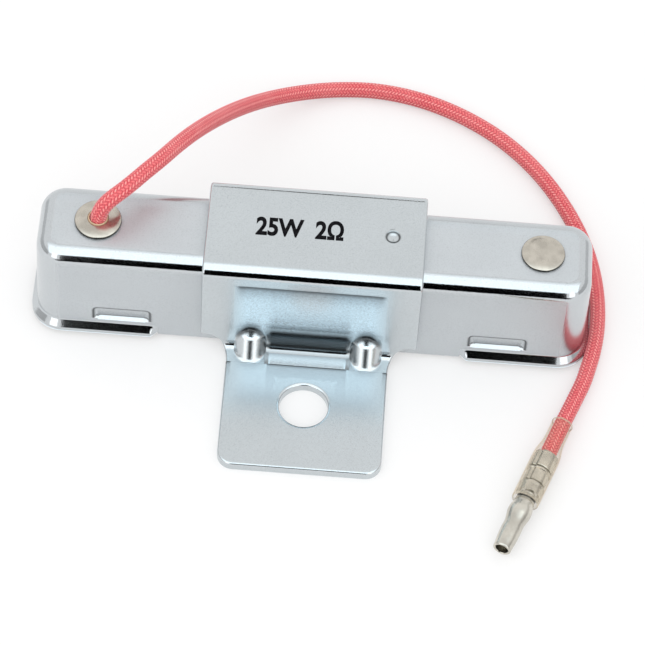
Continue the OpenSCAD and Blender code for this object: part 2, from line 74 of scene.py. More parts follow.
def placeCamera(v):
    # level axes turned by the roll, at a distance from the point aimed at
    level, rise, back = lookAxes(v["azimuth"], v["elevation"])
    roll = math.radians(v["roll"])
    right = level * math.cos(roll) + rise * math.sin(roll)
    up = rise * math.cos(roll) - level * math.sin(roll)
    data = bpy.data.cameras.new("photoCamera")
    data.angle = math.radians(v["fieldOfView"])
    data.clip_start, data.clip_end = v["clip"]
    cam = addObject("photoCamera", data)
    aimObject(cam, right, up, back, np.array(v["aim"]) + v["distance"] * back)
    bpy.context.scene.camera = cam


placeCamera(photoView)
print("camera placed")


# mesh helpers

mergeGap = 0.002  # points nearer than this become one


def bell(x, at, wide):
    # 1 at a place, falling off on both sides as a bell curve
    return np.exp(-((x - at) / wide) ** 2)


def climb(x, start, run):
    # 0 up to the start, 1 past the run, straight between
    return np.clip((x - start) / run, 0, 1)


def drop(x, end, run):
    # 1 before the run, 0 past the end, straight between
    return np.clip((end - x) / run, 0, 1)


def gridQuads(rows, cols, wrapRows=False, wrapCols=False):
    # corner numbers of the faces of a rows by cols grid, closed on itself where asked
    i = np.arange(rows if wrapRows else rows - 1)
    j = np.arange(cols if wrapCols else cols - 1)
    i, j = np.meshgrid(i, j, indexing="ij")
    below, beside = (i + 1) % rows, (j + 1) % cols
    corners = [i * cols + j, below * cols + j, below * cols + beside, i * cols + beside]
    return np.stack(corners, -1).reshape(-1, 4)


def joinGrids(*grids):
    # (points, quads) of several grids as one
    points, quads, start = [], [], 0
    for p, q in grids:
        points.append(p.reshape(-1, 3))
        quads.append(q + start)
        start += len(points[-1])
    return np.concatenate(points), np.concatenate(quads)


def makePiece(name, points, quads, material, slot, nodes=(), sharp=None, merge=True, values=None):
    # a mesh from points in millimetres and four-cornered faces, merged, turned outwards and put on the body
    points = points.reshape(-1, 3)
    mesh = bpy.data.meshes.new(name)
    mesh.vertices.add(len(points))
    mesh.vertices.foreach_set("co", (points * mm).astype(np.float32).ravel())
    mesh.loops.add(quads.size)
    mesh.loops.foreach_set("vertex_index", quads.astype(np.int32).ravel())
    mesh.polygons.add(len(quads))
    mesh.polygons.foreach_set("loop_start", np.arange(0, quads.size, 4, dtype=np.int32))
    mesh.update(calc_edges=True)
    for key, value in (values or {}).items():
        layer = mesh.attributes.new(key, "FLOAT", "POINT")
        layer.data.foreach_set("value", value.astype(np.float32).ravel())
    if merge:
        bm = bmesh.new()
        bm.from_mesh(mesh)
        bmesh.ops.remove_doubles(bm, verts=bm.verts, dist=mergeGap * mm)
        bmesh.ops.recalc_face_normals(bm, faces=bm.faces)
        bm.to_mesh(mesh)
        bm.free()
    mesh.validate()
    mesh.polygons.foreach_set("use_smooth", np.ones(len(mesh.polygons), dtype=bool))
    if sharp:
        mesh.set_sharp_from_angle(angle=math.radians(sharp))
    mesh.materials.append(material)
    piece = addObject(name, mesh)
    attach(piece, "root")
    if nodes:
        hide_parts(*nodes)
    return piece


def revolve(profile, steps, centre):
    # a profile of (radius, height) turned round an upright axis, closed on itself both ways
    turn = np.linspace(0, 2 * np.pi, steps, endpoint=False)
    r, z = np.array(profile, float).T
    points = np.stack([
        centre[0] + r[:, None] * np.cos(turn), centre[1] + r[:, None] * np.sin(turn),
        centre[2] + z[:, None] + 0 * turn], -1)
    return points, gridQuads(len(r), steps, wrapRows=True, wrapCols=True)


def arc(cx, cz, radius, start, end, count):
    # points of a circular arc, angles in degrees from the first axis
    a = np.radians(np.linspace(start, end, count))
    return np.stack([cx + radius * np.cos(a), cz + radius * np.sin(a)], -1)


def smoothPath(points, steps):
    # the smooth curve through the points, each stretch blended from its two neighbours on either side
    p = np.array(points, float)
    a, b = np.vstack([p[:1], p[:-2]]), p[:-1]
    c, d = p[1:], np.vstack([p[2:], p[-1:]])
    t = (np.arange(steps) / steps)[None, :, None]
    a, b, c, d = (x[:, None, :] for x in (a, b, c, d))
    run = (2 * b + (c - a) * t + (2 * a - 5 * b + 4 * c - d) * t ** 2
           + (3 * b - a - 3 * c + d) * t ** 3) / 2
    return np.vstack([run.reshape(-1, 3), p[-1:]])


def evenPath(path, step):
    # the same curve with its points a fixed distance apart
    along = np.concatenate([[0], np.cumsum(np.linalg.norm(np.diff(path, axis=0), axis=1))])
    at = np.linspace(0, along[-1], int(along[-1] / step) + 1)
    return np.stack([np.interp(at, along, path[:, k]) for k in range(3)], -1), at


# materials: noise sizes are in cycles to the metre, bump depths in millimetres

def newMaterial(name, **sockets):
    m = bpy.data.materials.new(name)
    m.use_nodes = True
    shader = m.node_tree.nodes["Principled BSDF"]
    for key, value in sockets.items():
        shader.inputs[key].default_value = value
    return m, m.node_tree, shader


def addNode(tree, kind, links=(), **settings):
    # a node with its settings, and its sockets fed from (socket, source) pairs or given plain values
    n = tree.nodes.new(kind)
    for key, value in settings.items():
        setattr(n, key, value)
    for socket, source in links:
        if isinstance(source, bpy.types.NodeSocket):
            tree.links.new(source, n.inputs[socket])
        else:
            n.inputs[socket].default_value = source
    return n


def maths(tree, operation, *values):
    return addNode(tree, "ShaderNodeMath", enumerate(values), operation=operation).outputs[0]


def attribute(tree, name):
    # a value that the piece's own points carry
    return addNode(tree, "ShaderNodeAttribute", attribute_name=name).outputs["Fac"]


def coords(tree):
    return addNode(tree, "ShaderNodeTexCoord").outputs["Object"]


def noise(tree, scale, detail=3.0, roughness=0.5):
    links = [("Vector", coords(tree)), ("Scale", scale), ("Detail", detail), ("Roughness", roughness)]
    return addNode(tree, "ShaderNodeTexNoise", links).outputs["Fac"]


def ramp(tree, factor, *stops):
    # a colour ramp from (place, colour) stops
    n = addNode(tree, "ShaderNodeValToRGB", [("Fac", factor)])
    for k, (place, colour) in enumerate(stops):
        e = n.color_ramp.elements[k] if k < 2 else n.color_ramp.elements.new(place)
        e.position = place
        e.color = (*colour, 1)
    return n.outputs["Color"]


def spread(tree, factor, low, high, start=0.0, end=1.0):
    # a factor carried from one range to another
    return addNode(tree, "ShaderNodeMapRange", [
        ("Value", factor), ("From Min", start), ("From Max", end),
        ("To Min", low), ("To Max", high)]).outputs["Result"]


def blend(tree, factor, a, b):
    n = addNode(tree, "ShaderNodeMix", data_type="RGBA")
    for k, value in ((0, factor), (6, a), (7, b)):
        if isinstance(value, bpy.types.NodeSocket):
            tree.links.new(value, n.inputs[k])
        else:
            n.inputs[k].default_value = (*value, 1)
    return n.outputs[2]


def bump(tree, shader, height, distance, after=None):
    links = [("Height", height), ("Distance", distance * mm), ("Strength", 1.0)]
    if after is not None:
        links.append(("Normal", after))
    n = addNode(tree, "ShaderNodeBump", links)
    tree.links.new(n.outputs["Normal"], shader.inputs["Normal"])
    return n.outputs["Normal"]


def toned(tint, share):
    # a colour times one number, or times three
    return tuple(np.array(tint) * share)


def paintShade(tree, tone, dark):
    # painted shade: a tone that goes to a dark one where the piece's painted shade value says so
    return blend(tree, attribute(tree, "paintedShade"), tone, dark)


zincLook = {
    "cloud": 90, "cloudTone": 0.95, "speck": 5200, "speckTone": 0.8, "paintedShadeTone": 0.1,
    "panelReflectionTone": (1.14, 1.24, 1.3), "mottle": 2800, "mottleTone": 0.72, "mottleMost": 0.6,
    "wallRough": 0.2, "wearRough": 0.13, "flatFrom": 0.985,  # least share of a flat's normal along an axis
    "wave": 300, "waveDepth": 0.008, "grain": 4200, "grainDepth": 0.006,
}


def zincFinish(name, tint, bend, flat, gloss, c=zincLook):
    # bright zinc plate: cloudy tone, a fine even grain and dull specks; flats are frosted, bends burnished,
    # and the pressed panel is mottled and painted a paler, bluer reflection; painted shade goes on top
    # where the piece carries it
    m, tree, shader = newMaterial(name, Metallic=1.0)
    tone = ramp(tree, noise(tree, c["cloud"], 4), (0.3, toned(tint, c["cloudTone"])), (0.7, tint))
    speck = spread(tree, noise(tree, c["speck"], 2), 0, 1, 0.5, 0.8)
    tone = blend(tree, speck, tone, toned(tint, c["speckTone"]))
    # painted reflection: the pressed panel is painted paler and bluer, and mottled
    press = attribute(tree, "press")
    tone = blend(tree, press, tone, toned(tint, c["panelReflectionTone"]))
    mottle = spread(tree, noise(tree, c["mottle"], 3, 0.6), 0, c["mottleMost"], 0.4, 0.7)
    tone = blend(tree, maths(tree, "MULTIPLY", mottle, press), tone, toned(tint, c["mottleTone"]))
    # painted shade: a dark tone where the piece carries its shade value
    tree.links.new(paintShade(tree, tone, toned(tint, c["paintedShadeTone"])), shader.inputs["Base Color"])
    facing = addNode(tree, "ShaderNodeNewGeometry").outputs["True Normal"]
    facing = addNode(tree, "ShaderNodeVectorMath", [(0, facing)], operation="ABSOLUTE").outputs[0]
    parts = addNode(tree, "ShaderNodeSeparateXYZ", [(0, facing)]).outputs
    most = maths(tree, "MAXIMUM", maths(tree, "MAXIMUM", parts[0], parts[1]), parts[2])
    upright = spread(tree, parts[2], c["wallRough"], bend, 0.05, 0.2)
    rough = maths(tree, "MAXIMUM", spread(tree, most, bend, flat, c["flatFrom"], 1.0), upright)
    rough = maths(tree, "MULTIPLY_ADD", attribute(tree, "wear"), c["wearRough"], rough)
    tree.links.new(rough, shader.inputs["Roughness"])
    tree.links.new(spread(tree, most, 1.0, gloss, c["flatFrom"], 1.0), shader.inputs["Metallic"])
    wave = bump(tree, shader, noise(tree, c["wave"], 2), c["waveDepth"])
    bump(tree, shader, noise(tree, c["grain"], 2), c["grainDepth"], wave)
    return m


plateLook = {
    "blotch": 420, "blotchTone": 0.78, "paintedShadeTone": 0.05, "dent": 330,
    "mark": 1100, "markRough": 0.03, "markDepth": 0.0005,
}


def platedFinish(name, tint, rough, dentDepth=0.03, c=plateLook):
    # dull plate: warm tone with soft blotches, shallow dents and fine handling marks; painted shade goes to
    # a near-black tone where the piece carries it
    m, tree, shader = newMaterial(name, Metallic=1.0)
    tone = ramp(tree, noise(tree, c["blotch"], 2), (0.35, toned(tint, c["blotchTone"])), (0.65, tint))
    tree.links.new(paintShade(tree, tone, toned(tint, c["paintedShadeTone"])), shader.inputs["Base Color"])
    mark = noise(tree, c["mark"], 2)
    marked = spread(tree, mark, rough - c["markRough"], rough + c["markRough"], 0.3, 0.7)
    tree.links.new(marked, shader.inputs["Roughness"])
    dents = bump(tree, shader, noise(tree, c["dent"], 1), dentDepth)
    bump(tree, shader, mark, c["markDepth"], dents)
    return m


matteLook = {"grainTone": 0.78, "paintedShadeTone": 0.6}


def matteFinish(name, tint, scale, rough=0.75, depth=0.03, c=matteLook):
    # a dry mineral or fibre body: two tones of grain and a fine tooth; painted shade is a deeper, redder
    # tone
    m, tree, shader = newMaterial(name, Roughness=rough)
    grain = noise(tree, scale, 5, 0.65)
    tone = ramp(tree, grain, (0.3, toned(tint, c["grainTone"])), (0.7, tint))
    dark = toned(tint, toned(tint, c["paintedShadeTone"]))
    tree.links.new(paintShade(tree, tone, dark), shader.inputs["Base Color"])
    bump(tree, shader, grain, depth)
    return m


braidLook = {
    "rough": 0.72, "sheen": 0.35, "sheenRough": 0.5,
    # strand tones: painted shade deep in the gaps, painted highlight pale on the crowns
    "strand": [(0.1, (0.5, 0.018, 0.032)), (0.62, (0.88, 0.095, 0.12)), (0.95, (1.0, 0.42, 0.39))],
    "fade": 160, "fadeMost": 0.2, "fadeTone": (0.90, 0.30, 0.29),
    "thread": 5200, "threadMost": 0.5, "threadTone": (1.0, 0.52, 0.48), "threadDepth": 0.02,
}


def braidFinish(c=braidLook):
    # woven glass braid: strands painted from deep shade in the gaps to a pale highlight on their crowns by
    # the weave value, with faded patches and pale threads
    m, tree, shader = newMaterial("fadedRedBraid", Roughness=c["rough"])
    shader.inputs["Sheen Weight"].default_value = c["sheen"]
    shader.inputs["Sheen Roughness"].default_value = c["sheenRough"]
    tone = ramp(tree, attribute(tree, "weaveShading"), *c["strand"])
    fade = spread(tree, noise(tree, c["fade"], 4), 0, c["fadeMost"], 0.45, 0.75)
    tone = blend(tree, fade, tone, c["fadeTone"])
    thread = noise(tree, c["thread"], 2)
    tone = blend(tree, spread(tree, thread, 0, c["threadMost"], 0.5, 0.75), tone, c["threadTone"])
    tree.links.new(tone, shader.inputs["Base Color"])
    bump(tree, shader, thread, c["threadDepth"])
    return m


sleeveLook = {
    "rough": 0.2, "haze": 500, "hazeTones": [(0.3, (0.60, 0.52, 0.38)), (0.7, (0.78, 0.71, 0.58))],
    "film": (0.02, 0.07), "filmDepth": 0.02, "tint": (0.66, 0.47, 0.16), "tintDensity": 330,
}


def clearFinish(c=sleeveLook):
    # thin clear sleeve: a faint haze on its faces, stronger at its rims, and a yellow tint that deepens
    # with the thickness looked through
    m, tree, shader = newMaterial("yellowedClear", Roughness=c["rough"])
    haze = noise(tree, c["haze"], 2)
    tree.links.new(ramp(tree, haze, *c["hazeTones"]), shader.inputs["Base Color"])
    film = maths(tree, "MAXIMUM", spread(tree, haze, *c["film"], 0.3, 0.7), attribute(tree, "rim"))
    tree.links.new(film, shader.inputs["Alpha"])
    bump(tree, shader, haze, c["filmDepth"])
    tint = addNode(tree, "ShaderNodeVolumeAbsorption", [
        ("Color", (*c["tint"], 1)), ("Density", c["tintDensity"])])
    tree.links.new(tint.outputs["Volume"], tree.nodes["Material Output"].inputs["Volume"])
    return m


inkLook = {
    "rough": 0.6, "grain": 1500, "tones": [(0.35, (0.006, 0.006, 0.007)), (0.75, (0.016, 0.016, 0.018))],
}


def inkFinish(c=inkLook):
    # flat black ink, a little paler where it is thin
    m, tree, shader = newMaterial("blackInk", Roughness=c["rough"])
    shader.inputs["Specular IOR Level"].default_value = 0.0
    tone = ramp(tree, noise(tree, c["grain"], 4), *c["tones"])
    tree.links.new(tone, shader.inputs["Base Color"])
    return m


zincSheet = zincFinish("brightZincSheet", (0.60, 0.63, 0.65), 0.09, 0.45, 0.8)
zincStrap = zincFinish("brightZincStrap", (0.61, 0.65, 0.67), 0.09, 0.24, 0.97)
nickelPlate = platedFinish("warmNickel", (0.60, 0.56, 0.49), 0.25, 0.12)
tinPlate = platedFinish("tinnedBrass", (0.66, 0.63, 0.56), 0.22, 0.07)
tanFibre = matteFinish("tanFibre", (0.74, 0.55, 0.36), 1400)
cementGrey = matteFinish("castCement", (0.70, 0.68, 0.63), 500, 0.9, 0.12)
ceramicWhite = matteFinish("unglazedCeramic", (0.82, 0.79, 0.72), 900, 0.6)
brassStrip = platedFinish("brassStrip", (0.72, 0.55, 0.28), 0.32)
copperEnd = platedFinish("bareCopper", (0.72, 0.36, 0.2), 0.3)
oxideWire = platedFinish("oxidisedWire", (0.36, 0.34, 0.32), 0.45)
redBraid = braidFinish()
clearSleeve = clearFinish()
blackInk = inkFinish()
print("materials made")


# lead: a braided tube along the route, from inside the eyelet to the crimp

lead = {
    "diameter": 3.0, "swell": 0.04, "strands": 14, "relief": 0.13, "around": 56, "step": 0.17,
    # the under share is painted shade on the strand that passes underneath
    "strandCrown": 0.7, "stretchCrown": 0.6, "stretchLow": 0.3, "underShade": 0.86,
    "heldStart": 4.5, "heldEnd": 9.0, "ease": 0.7, "relax": 10.0,  # lengths held; easing's growth and most
    "firstSide": (0.0, 1.0, 0.0),
    "route": [  # the same points as the solid's
        (-39.8, 22.7, 19.6), (-39.8, 22.7, 21.5), (-39.8, 22.7, 23.4), (-39.2, 22.9, 26.5),
        (-37.8, 23.6, 28.8), (-35.6, 24.9, 30.2), (-32.4, 27.6, 30.6), (-29.7, 32.3, 29.8),
        (-26.7, 38.5, 27.2), (-23.3, 46.2, 22.5), (-19.5, 54.3, 16.5), (-15.3, 62, 10.5),
        (-10.8, 68.1, 5.5), (-5.9, 72.2, 2.5), (-0.9, 74.3, 1.5), (4.2, 75.1, 1.5),
        (9.3, 75.2, 1.5), (14.4, 74.6, 1.5), (19.4, 73.3, 1.5), (24.3, 71.4, 1.5),
        (29, 69, 1.5), (33.4, 66, 1.5), (37.6, 62.6, 1.5), (41.4, 58.4, 1.5),
        (44.7, 53.8, 1.5), (47.6, 48.9, 1.5), (49.9, 44.2, 1.5), (52, 38.6, 1.5),
        (53.3, 33, 1.5), (53.8, 27, 1.5), (53.8, 21, 1.5), (53.1, 15, 1.5),
        (51.2, 9.6, 1.6), (49.2, 4.1, 2.1), (47.6, -0.25, 2.6), (45.8, -5.13, 2.6),
        (44.28, -9.26, 2.6),
    ],
}


def relax(path, along, c):
    # each point goes to the mean of the stretch round it, which grows from nothing at the two held ends;
    # the lead then lies on the floor where it would be lower
    room = np.minimum(along - c["heldStart"], along[-1] - c["heldEnd"] - along)
    reach = np.clip(c["ease"] * room, along[1], c["relax"])
    area = np.vstack([np.zeros((1, 3)), np.cumsum((path[1:] + path[:-1]) / 2, axis=0) * along[1]])
    upTo = lambda s: np.stack([np.interp(s, along, area[:, k]) for k in range(3)], -1)
    mean = (upTo(along + reach) - upTo(along - reach)) / (2 * reach)[:, None]
    mean[[0, -1]] = path[[0, -1]]
    mean[:, 2] = np.maximum(mean[:, 2], c["diameter"] / 2 + c["swell"])
    return evenPath(mean, c["step"])


def carriedSides(path, firstSide):
    # side vectors carried along the path without twist: each is the last one, levelled to the new heading
    heading = np.gradient(path, axis=0)
    heading /= np.linalg.norm(heading, axis=1)[:, None]
    sides = np.empty_like(heading)
    side = np.array(firstSide)
    for k, ahead in enumerate(heading):
        side = side - ahead * (side @ ahead)
        side /= np.linalg.norm(side)
        sides[k] = side
    return sides, np.cross(heading, sides)


def weaveHeight(turn, along, cell, c):
    # two families of strands wind opposite ways, each over two and under two of the other;
    # a strand is crowned across its width and along each stretch that lies on top
    u = turn * c["strands"] / (2 * np.pi) + along / (2 * cell)
    v = turn * c["strands"] / (2 * np.pi) - along / (2 * cell)
    i, j = np.floor(u), np.floor(v)
    over = (i + j) % 4 < 2
    across = np.sin(np.pi * np.where(over, u - i, v - j)) ** c["strandCrown"]
    stretch = np.abs(np.sin(np.pi * np.where(over, (v + i) % 4, (u + j) % 4 - 2) / 2)) ** c["stretchCrown"]
    return across * (c["stretchLow"] + (1 - c["stretchLow"]) * stretch), over


def makeLead(c):
    path, along = relax(*evenPath(smoothPath(c["route"], 24), c["step"]), c)
    side, other = carriedSides(path, c["firstSide"])
    around = c["around"]
    turn = np.linspace(0, 2 * np.pi, around, endpoint=False)
    height, over = weaveHeight(turn[None, :], along[:, None], 2 * along[1], c)
    radius = c["diameter"] / 2 + c["swell"] - c["relief"] * (1 - height)
    points = (path[:, None, :] + radius[..., None] * (
        np.cos(turn)[None, :, None] * side[:, None, :] + np.sin(turn)[None, :, None] * other[:, None, :]))
    # painted light: the crown height gives a pale highlight on top and deep shade in the gaps, and the
    # strand underneath is painted darker
    shade = np.clip(height * np.where(over, 1.0, c["underShade"]), 0, 1)
    ends = np.broadcast_to(path[[0, -1]][:, None, :], (2, around, 3))
    grid = np.concatenate([ends[:1], points, ends[1:]])
    weaveShading = np.pad(shade, ((1, 1), (0, 0)))
    piece = makePiece("braided_lead", grid, gridQuads(len(grid), around, wrapCols=True)[:, ::-1],
                      redBraid, "braid", ("lead_cord",), merge=False, values={"weaveShading": weaveShading})
    return piece, path, along[-1]


leadPiece, leadPath, leadLength = makeLead(lead)
print("lead made, %.1f mm long" % leadLength)


# housing: the sheet's section carried round the plan

housing = {
    "length": 102, "width": 17.3, "top": 23.2, "lift": 1.1, "sheet": 0.8, "draft": 1.0,
    "axisY": 22.7, "edgeRadius": 3, "edgeSteps": 22, "cornerRadius": 5,
    "flangeReach": 1, "flareRadius": 2.6, "flangeLength": 23, "flangeEnd": 1.5, "skirtZ": 0.8,
    "kneeStart": 0.28, "kneeEnd": 0.47, "tipRound": 0.12,
    "tipShares": (0.04, 0.12, 0.25, 0.5, 0.75, 0.88, 0.96),
    "beadInset": 16.2, "beadLength": 11, "beadLow": 4.2, "beadValley": 4.75, "beadHigh": 7.9,
    "beadDepth": 0.62, "beadEnd": 1.2, "beadStep": 0.14, "beadStepRun": 0.15,
    "beadCorner": 1.2, "beadCornerSlope": 1.5,
    # the bead's dark lines are painted shade
    "outlineLine": (0.25, 0.24), "valleyLine": (0.15, 0.14), "valleyDark": 0.6,  # dark lines: place, width
    "outlineAbove": 0.3, "outlineReach": 0.2, "valleyEnds": 0.4,
    "backDull": 1.6,  # the back edge is duller than the front one
    "coarseStep": 2.25, "fineFrom": 27.4, "fineTo": 41.6, "fineStep": 0.2,  # columns, fine over the beads
    "columnGap": 0.4, "rowGap": 0.05,
    "outsideRows": [  # heights from and to, and how many
        (19, 9, 6), (8.6, 7.95, 4), (7.9, 7.72, 6), (7.5, 5.1, 14), (5.0, 4.2, 13), (4.15, 4.15, 1)],
    "insideRows": (18, 12, 8),
}


def beadAcross(h, x):
    # distance inwards from the nearer end of the nearest bead
    return h["beadLength"] / 2 - np.abs(np.abs(x) - (h["length"] / 2 - h["beadInset"]))


def roundedGap(radius, across, tall):
    # distance inside an outline with a rounded corner, from the distances to its two sides
    return radius - np.hypot(np.clip(radius - across, 0, None), np.clip(radius - tall, 0, None))


def beadDepth(h, x, z):
    # least of four slopes: a long ramp from the top edge, a short ledge below, and one at each end
    across = beadAcross(h, x)
    tall = np.minimum(z - h["beadLow"], h["beadHigh"] - z)
    ledge = (z - h["beadLow"]) / (h["beadValley"] - h["beadLow"])
    step = drop(z, h["beadHigh"], h["beadStepRun"]) * h["beadStep"]
    down = drop(z, h["beadHigh"], h["beadHigh"] - h["beadValley"])
    longRamp = step + down * (h["beadDepth"] - h["beadStep"])
    slopes = np.minimum(ledge, across / h["beadEnd"]) * h["beadDepth"]
    corner = h["beadCornerSlope"] * roundedGap(h["beadCorner"], across, tall)
    return np.clip(np.minimum(np.minimum(longRamp, slopes), corner), 0, None)


def planLoop(h):
    # base points on the corner axes' rectangle and outward directions, anticlockwise from the front left
    halfX, halfY = h["length"] / 2 - h["cornerRadius"], h["width"] / 2 - h["cornerRadius"]
    near = np.concatenate([
        np.arange(0, h["fineFrom"] - h["columnGap"], h["coarseStep"]),
        np.arange(h["fineFrom"], h["fineTo"], h["fineStep"]),
        np.linspace(h["fineTo"] + h["columnGap"], halfX, 6)])
    x = np.concatenate([-near[:0:-1], near])
    flat = np.zeros_like(x)
    turn = np.radians(np.linspace(0, 90, 19)[1:-1])
    one = np.ones_like(turn)
    corner = lambda sx, sy, start: np.stack(
        [sx * halfX * one, sy * halfY * one, np.cos(turn + start), np.sin(turn + start)], -1)
    front = np.stack([x, flat - halfY, flat, flat - 1], -1)
    endRows = lambda sx: np.array([[sx * halfX, -halfY, sx, 0], [sx * halfX, halfY, sx, 0]], float)[::sx]
    back = np.stack([x[::-1], flat + halfY, flat, flat + 1], -1)
    loop = np.concatenate([
        front, corner(1, -1, -np.pi / 2), endRows(1), corner(1, 1, 0),
        back, corner(-1, 1, np.pi / 2), endRows(-1), corner(-1, -1, np.pi)])
    return loop, len(x)


def makeHousing(h):
    loop, count = planLoop(h)
    baseX, baseY, dirX, dirY = loop.T
    slope = math.tan(math.radians(h["draft"]))
    lip, core = h["flareRadius"], h["flareRadius"] + h["sheet"]
    baseZ = h["lift"] + math.sqrt(core ** 2 - (lip - h["flangeReach"]) ** 2)
    longWall = np.abs(dirY) > 0.999
    past = np.abs(baseX) - (h["length"] / 2 - h["flangeLength"])
    reach = h["flangeReach"] * np.where(longWall, climb(past, 0, h["flangeEnd"]), 1)
    straight = longWall & (past <= 0)

    def skin(inset, wallZ, steps):
        # top, rounded edge and wall of one side of the sheet, from the corner axis outwards and down
        r = h["edgeRadius"] - inset
        top = h["top"] - inset
        wall = lambda z: h["cornerRadius"] - inset - (z - baseZ) * slope
        cz = top - r
        cr = wall(cz) - r / math.cos(math.radians(h["draft"]))
        bend = arc(cr, cz, r, 90, h["draft"], steps)
        z = wallZ[wallZ < bend[-1, 1] - h["rowGap"]]
        return np.concatenate([[[0, top]], bend, np.stack([wall(z), z], -1)])

    wallZ = np.concatenate([np.linspace(*run) for run in h["outsideRows"]] + [[baseZ]])
    outer = skin(0, wallZ, h["edgeSteps"])
    inner = skin(h["sheet"], np.array([*h["insideRows"], baseZ]), 8)[::-1]
    # flare: upright at first, an easy knee, then a straight slope out to the tip
    share = np.linspace(0, 1, 15)[1:, None]
    knee, slide = h["kneeStart"], h["kneeEnd"]
    curved = np.clip(share - knee, 0, None) ** 2 / (2 * (slide - knee))
    swell = np.where(share < slide, curved, share - (knee + slide) / 2)
    fall = math.sqrt(lip ** 2 - (lip - h["flangeReach"]) ** 2)
    outR = h["cornerRadius"] + reach * swell / swell[-1]
    outZ = baseZ - fall * share + 0 * reach
    inAngle = np.arccos((lip - reach) / core)[None, :] * share[::-1]
    tip = np.array(h["tipShares"])[:, None]
    tipLow = np.where(straight, h["skirtZ"], baseZ - core * np.sin(inAngle[0]))
    tipR = h["cornerRadius"] + reach - h["tipRound"] * reach * np.abs(2 * tip - 1) ** 4
    tipZ = baseZ - fall + (tipLow - baseZ + fall) * tip
    hub = h["cornerRadius"] + lip
    inR = np.where(straight, h["cornerRadius"] - h["sheet"], hub - core * np.cos(inAngle))
    skirt = h["skirtZ"] + (baseZ - h["skirtZ"]) * (1 - share[::-1])
    inZ = np.where(straight, skirt, baseZ - core * np.sin(inAngle))
    allRound = lambda p: np.broadcast_to(p[:, None], (len(p), len(loop)))
    r = np.concatenate([allRound(outer[:, 0]), outR, tipR, inR, allRound(inner[:, 0])])
    z = np.concatenate([allRound(outer[:, 1]), outZ, tipZ, inZ, allRound(inner[:, 1])])
    edgeRows, wallRows = slice(1, 1 + h["edgeSteps"]), slice(1 + h["edgeSteps"], len(outer))
    r[wallRows] -= np.where(longWall, beadDepth(h, baseX, z[wallRows]), 0)
    points = np.stack([baseX + r * dirX, h["axisY"] + baseY + r * dirY, z], -1)
    grids = [(points, gridQuads(*points.shape[:2], wrapCols=True))]
    backStart = int(np.argmax(dirY > 0.999))
    for row in (0, -1):
        # flat plate between the corner axes, from the front line to the back line
        pair = np.stack([points[row, :count], points[row, backStart:backStart + count][::-1]])
        grids.append((pair, gridQuads(2, count)))

    # painted shade: dark lines inside the bead's outline on its top and ends, and along its valley
    across, wallHigh = beadAcross(h, baseX), z[wallRows]
    inside = roundedGap(h["beadCorner"], across, h["beadHigh"] - wallHigh)
    outline = bell(inside, *h["outlineLine"]) * (wallHigh > h["beadLow"] + h["outlineAbove"])
    valley = h["valleyDark"] * bell(wallHigh - h["beadValley"], *h["valleyLine"])
    valley = valley * (across > h["valleyEnds"])
    paintedShade, dull = np.zeros_like(z), np.zeros_like(z)
    nearBead = longWall & (across > -h["outlineReach"])
    paintedShade[wallRows] = np.where(nearBead, np.maximum(outline, valley), 0)
    dull[edgeRows] = h["backDull"] * np.clip(2 * dirY, 0, 1)
    marks = {"paintedShade": paintedShade, "wear": dull}
    marks = {key: np.pad(value.ravel(), (0, 4 * count)) for key, value in marks.items()}
    return makePiece("drawn_housing", *joinGrids(*grids), zincSheet, "zinc_sheet", ("housing",),
                     sharp=38, values=marks)


makeHousing(housing)
print("housing made")


# bracket: a flat blank carried along the folded strap, with darts, notches and a rolled hole

bracket = {
    "width": 40, "thick": 1.8, "top": 25.05, "bendRadius": 2.4, "axisY": 22.7, "halfDepth": 10.5,
    "footBend": 3.6, "footWidth": 30, "frontEdge": -13.8, "footCorner": 3, "backCorner": 2,
    "notch": 4.4, "notchNear": 1.2, "far": 99.0,  # far: farther than any distance that matters
    "edgeRoll": 0.45, "holeRadius": 4.5, "holeRoll": 0.56, "patch": 5.7,
    "dartPitch": 21.5, "dartRadius": 2.95, "dartRise": 5.0, "dartRun": 3.4, "dartBlend": 0.7,
    "dartFlank": 6, "dartFacing": 0.5, "dartReach": 1.5, "dartTop": 12,
    "stakeX": 14.0, "stakeRadius": 1.4, "stakeDepth": 0.5, "burr": 0.06, "burrLine": (0.1, 0.12),
    "coinRadius": 1.2, "coinDepth": 0.1, "rampHalf": 7.9, "rampSide": 0.9, "rampDepth": 0.8,
    "ridge": 0.2, "ridgeRun": 2.0,
    "dieHalf": 13.9, "dieSide": 2.5, "dieTop": 20.8, "dieDepth": 0.12, "dieDeep": 0.45, "dieDeepZ": 8.5,
    "dieLow": 3.0,
    "columns": [(5.95, 7.5, 0.25), (7.55, 8.7, 0.1), (8.8, 12.7, 0.22), (12.8, 15.65, 0.1)],
    "sideColumns": (15.9, 19.2, 7), "edgeColumns": (0.6, 0.45, 0.32, 0.22, 0.13, 0.06, 0),
    "keepHalf": 14.0, "keepGap": 1.0, "keepEnd": 0.78,  # columns nearer the middle keep their places
    "edgeRows": (0.06, 0.15, 0.28, 0.45), "backRowsFrom": 2.6, "stakeBand": 1.6, "rowGap": 0.1,
    "frontRows": [(22, 21.3, 2), (20.9, 20.9, 1), (20.8, 20.5, 4), (19.5, 10, 8)],  # as the housing's
    "lowRowsFrom": 9.6, "tipRowsFrom": 3.2,
}

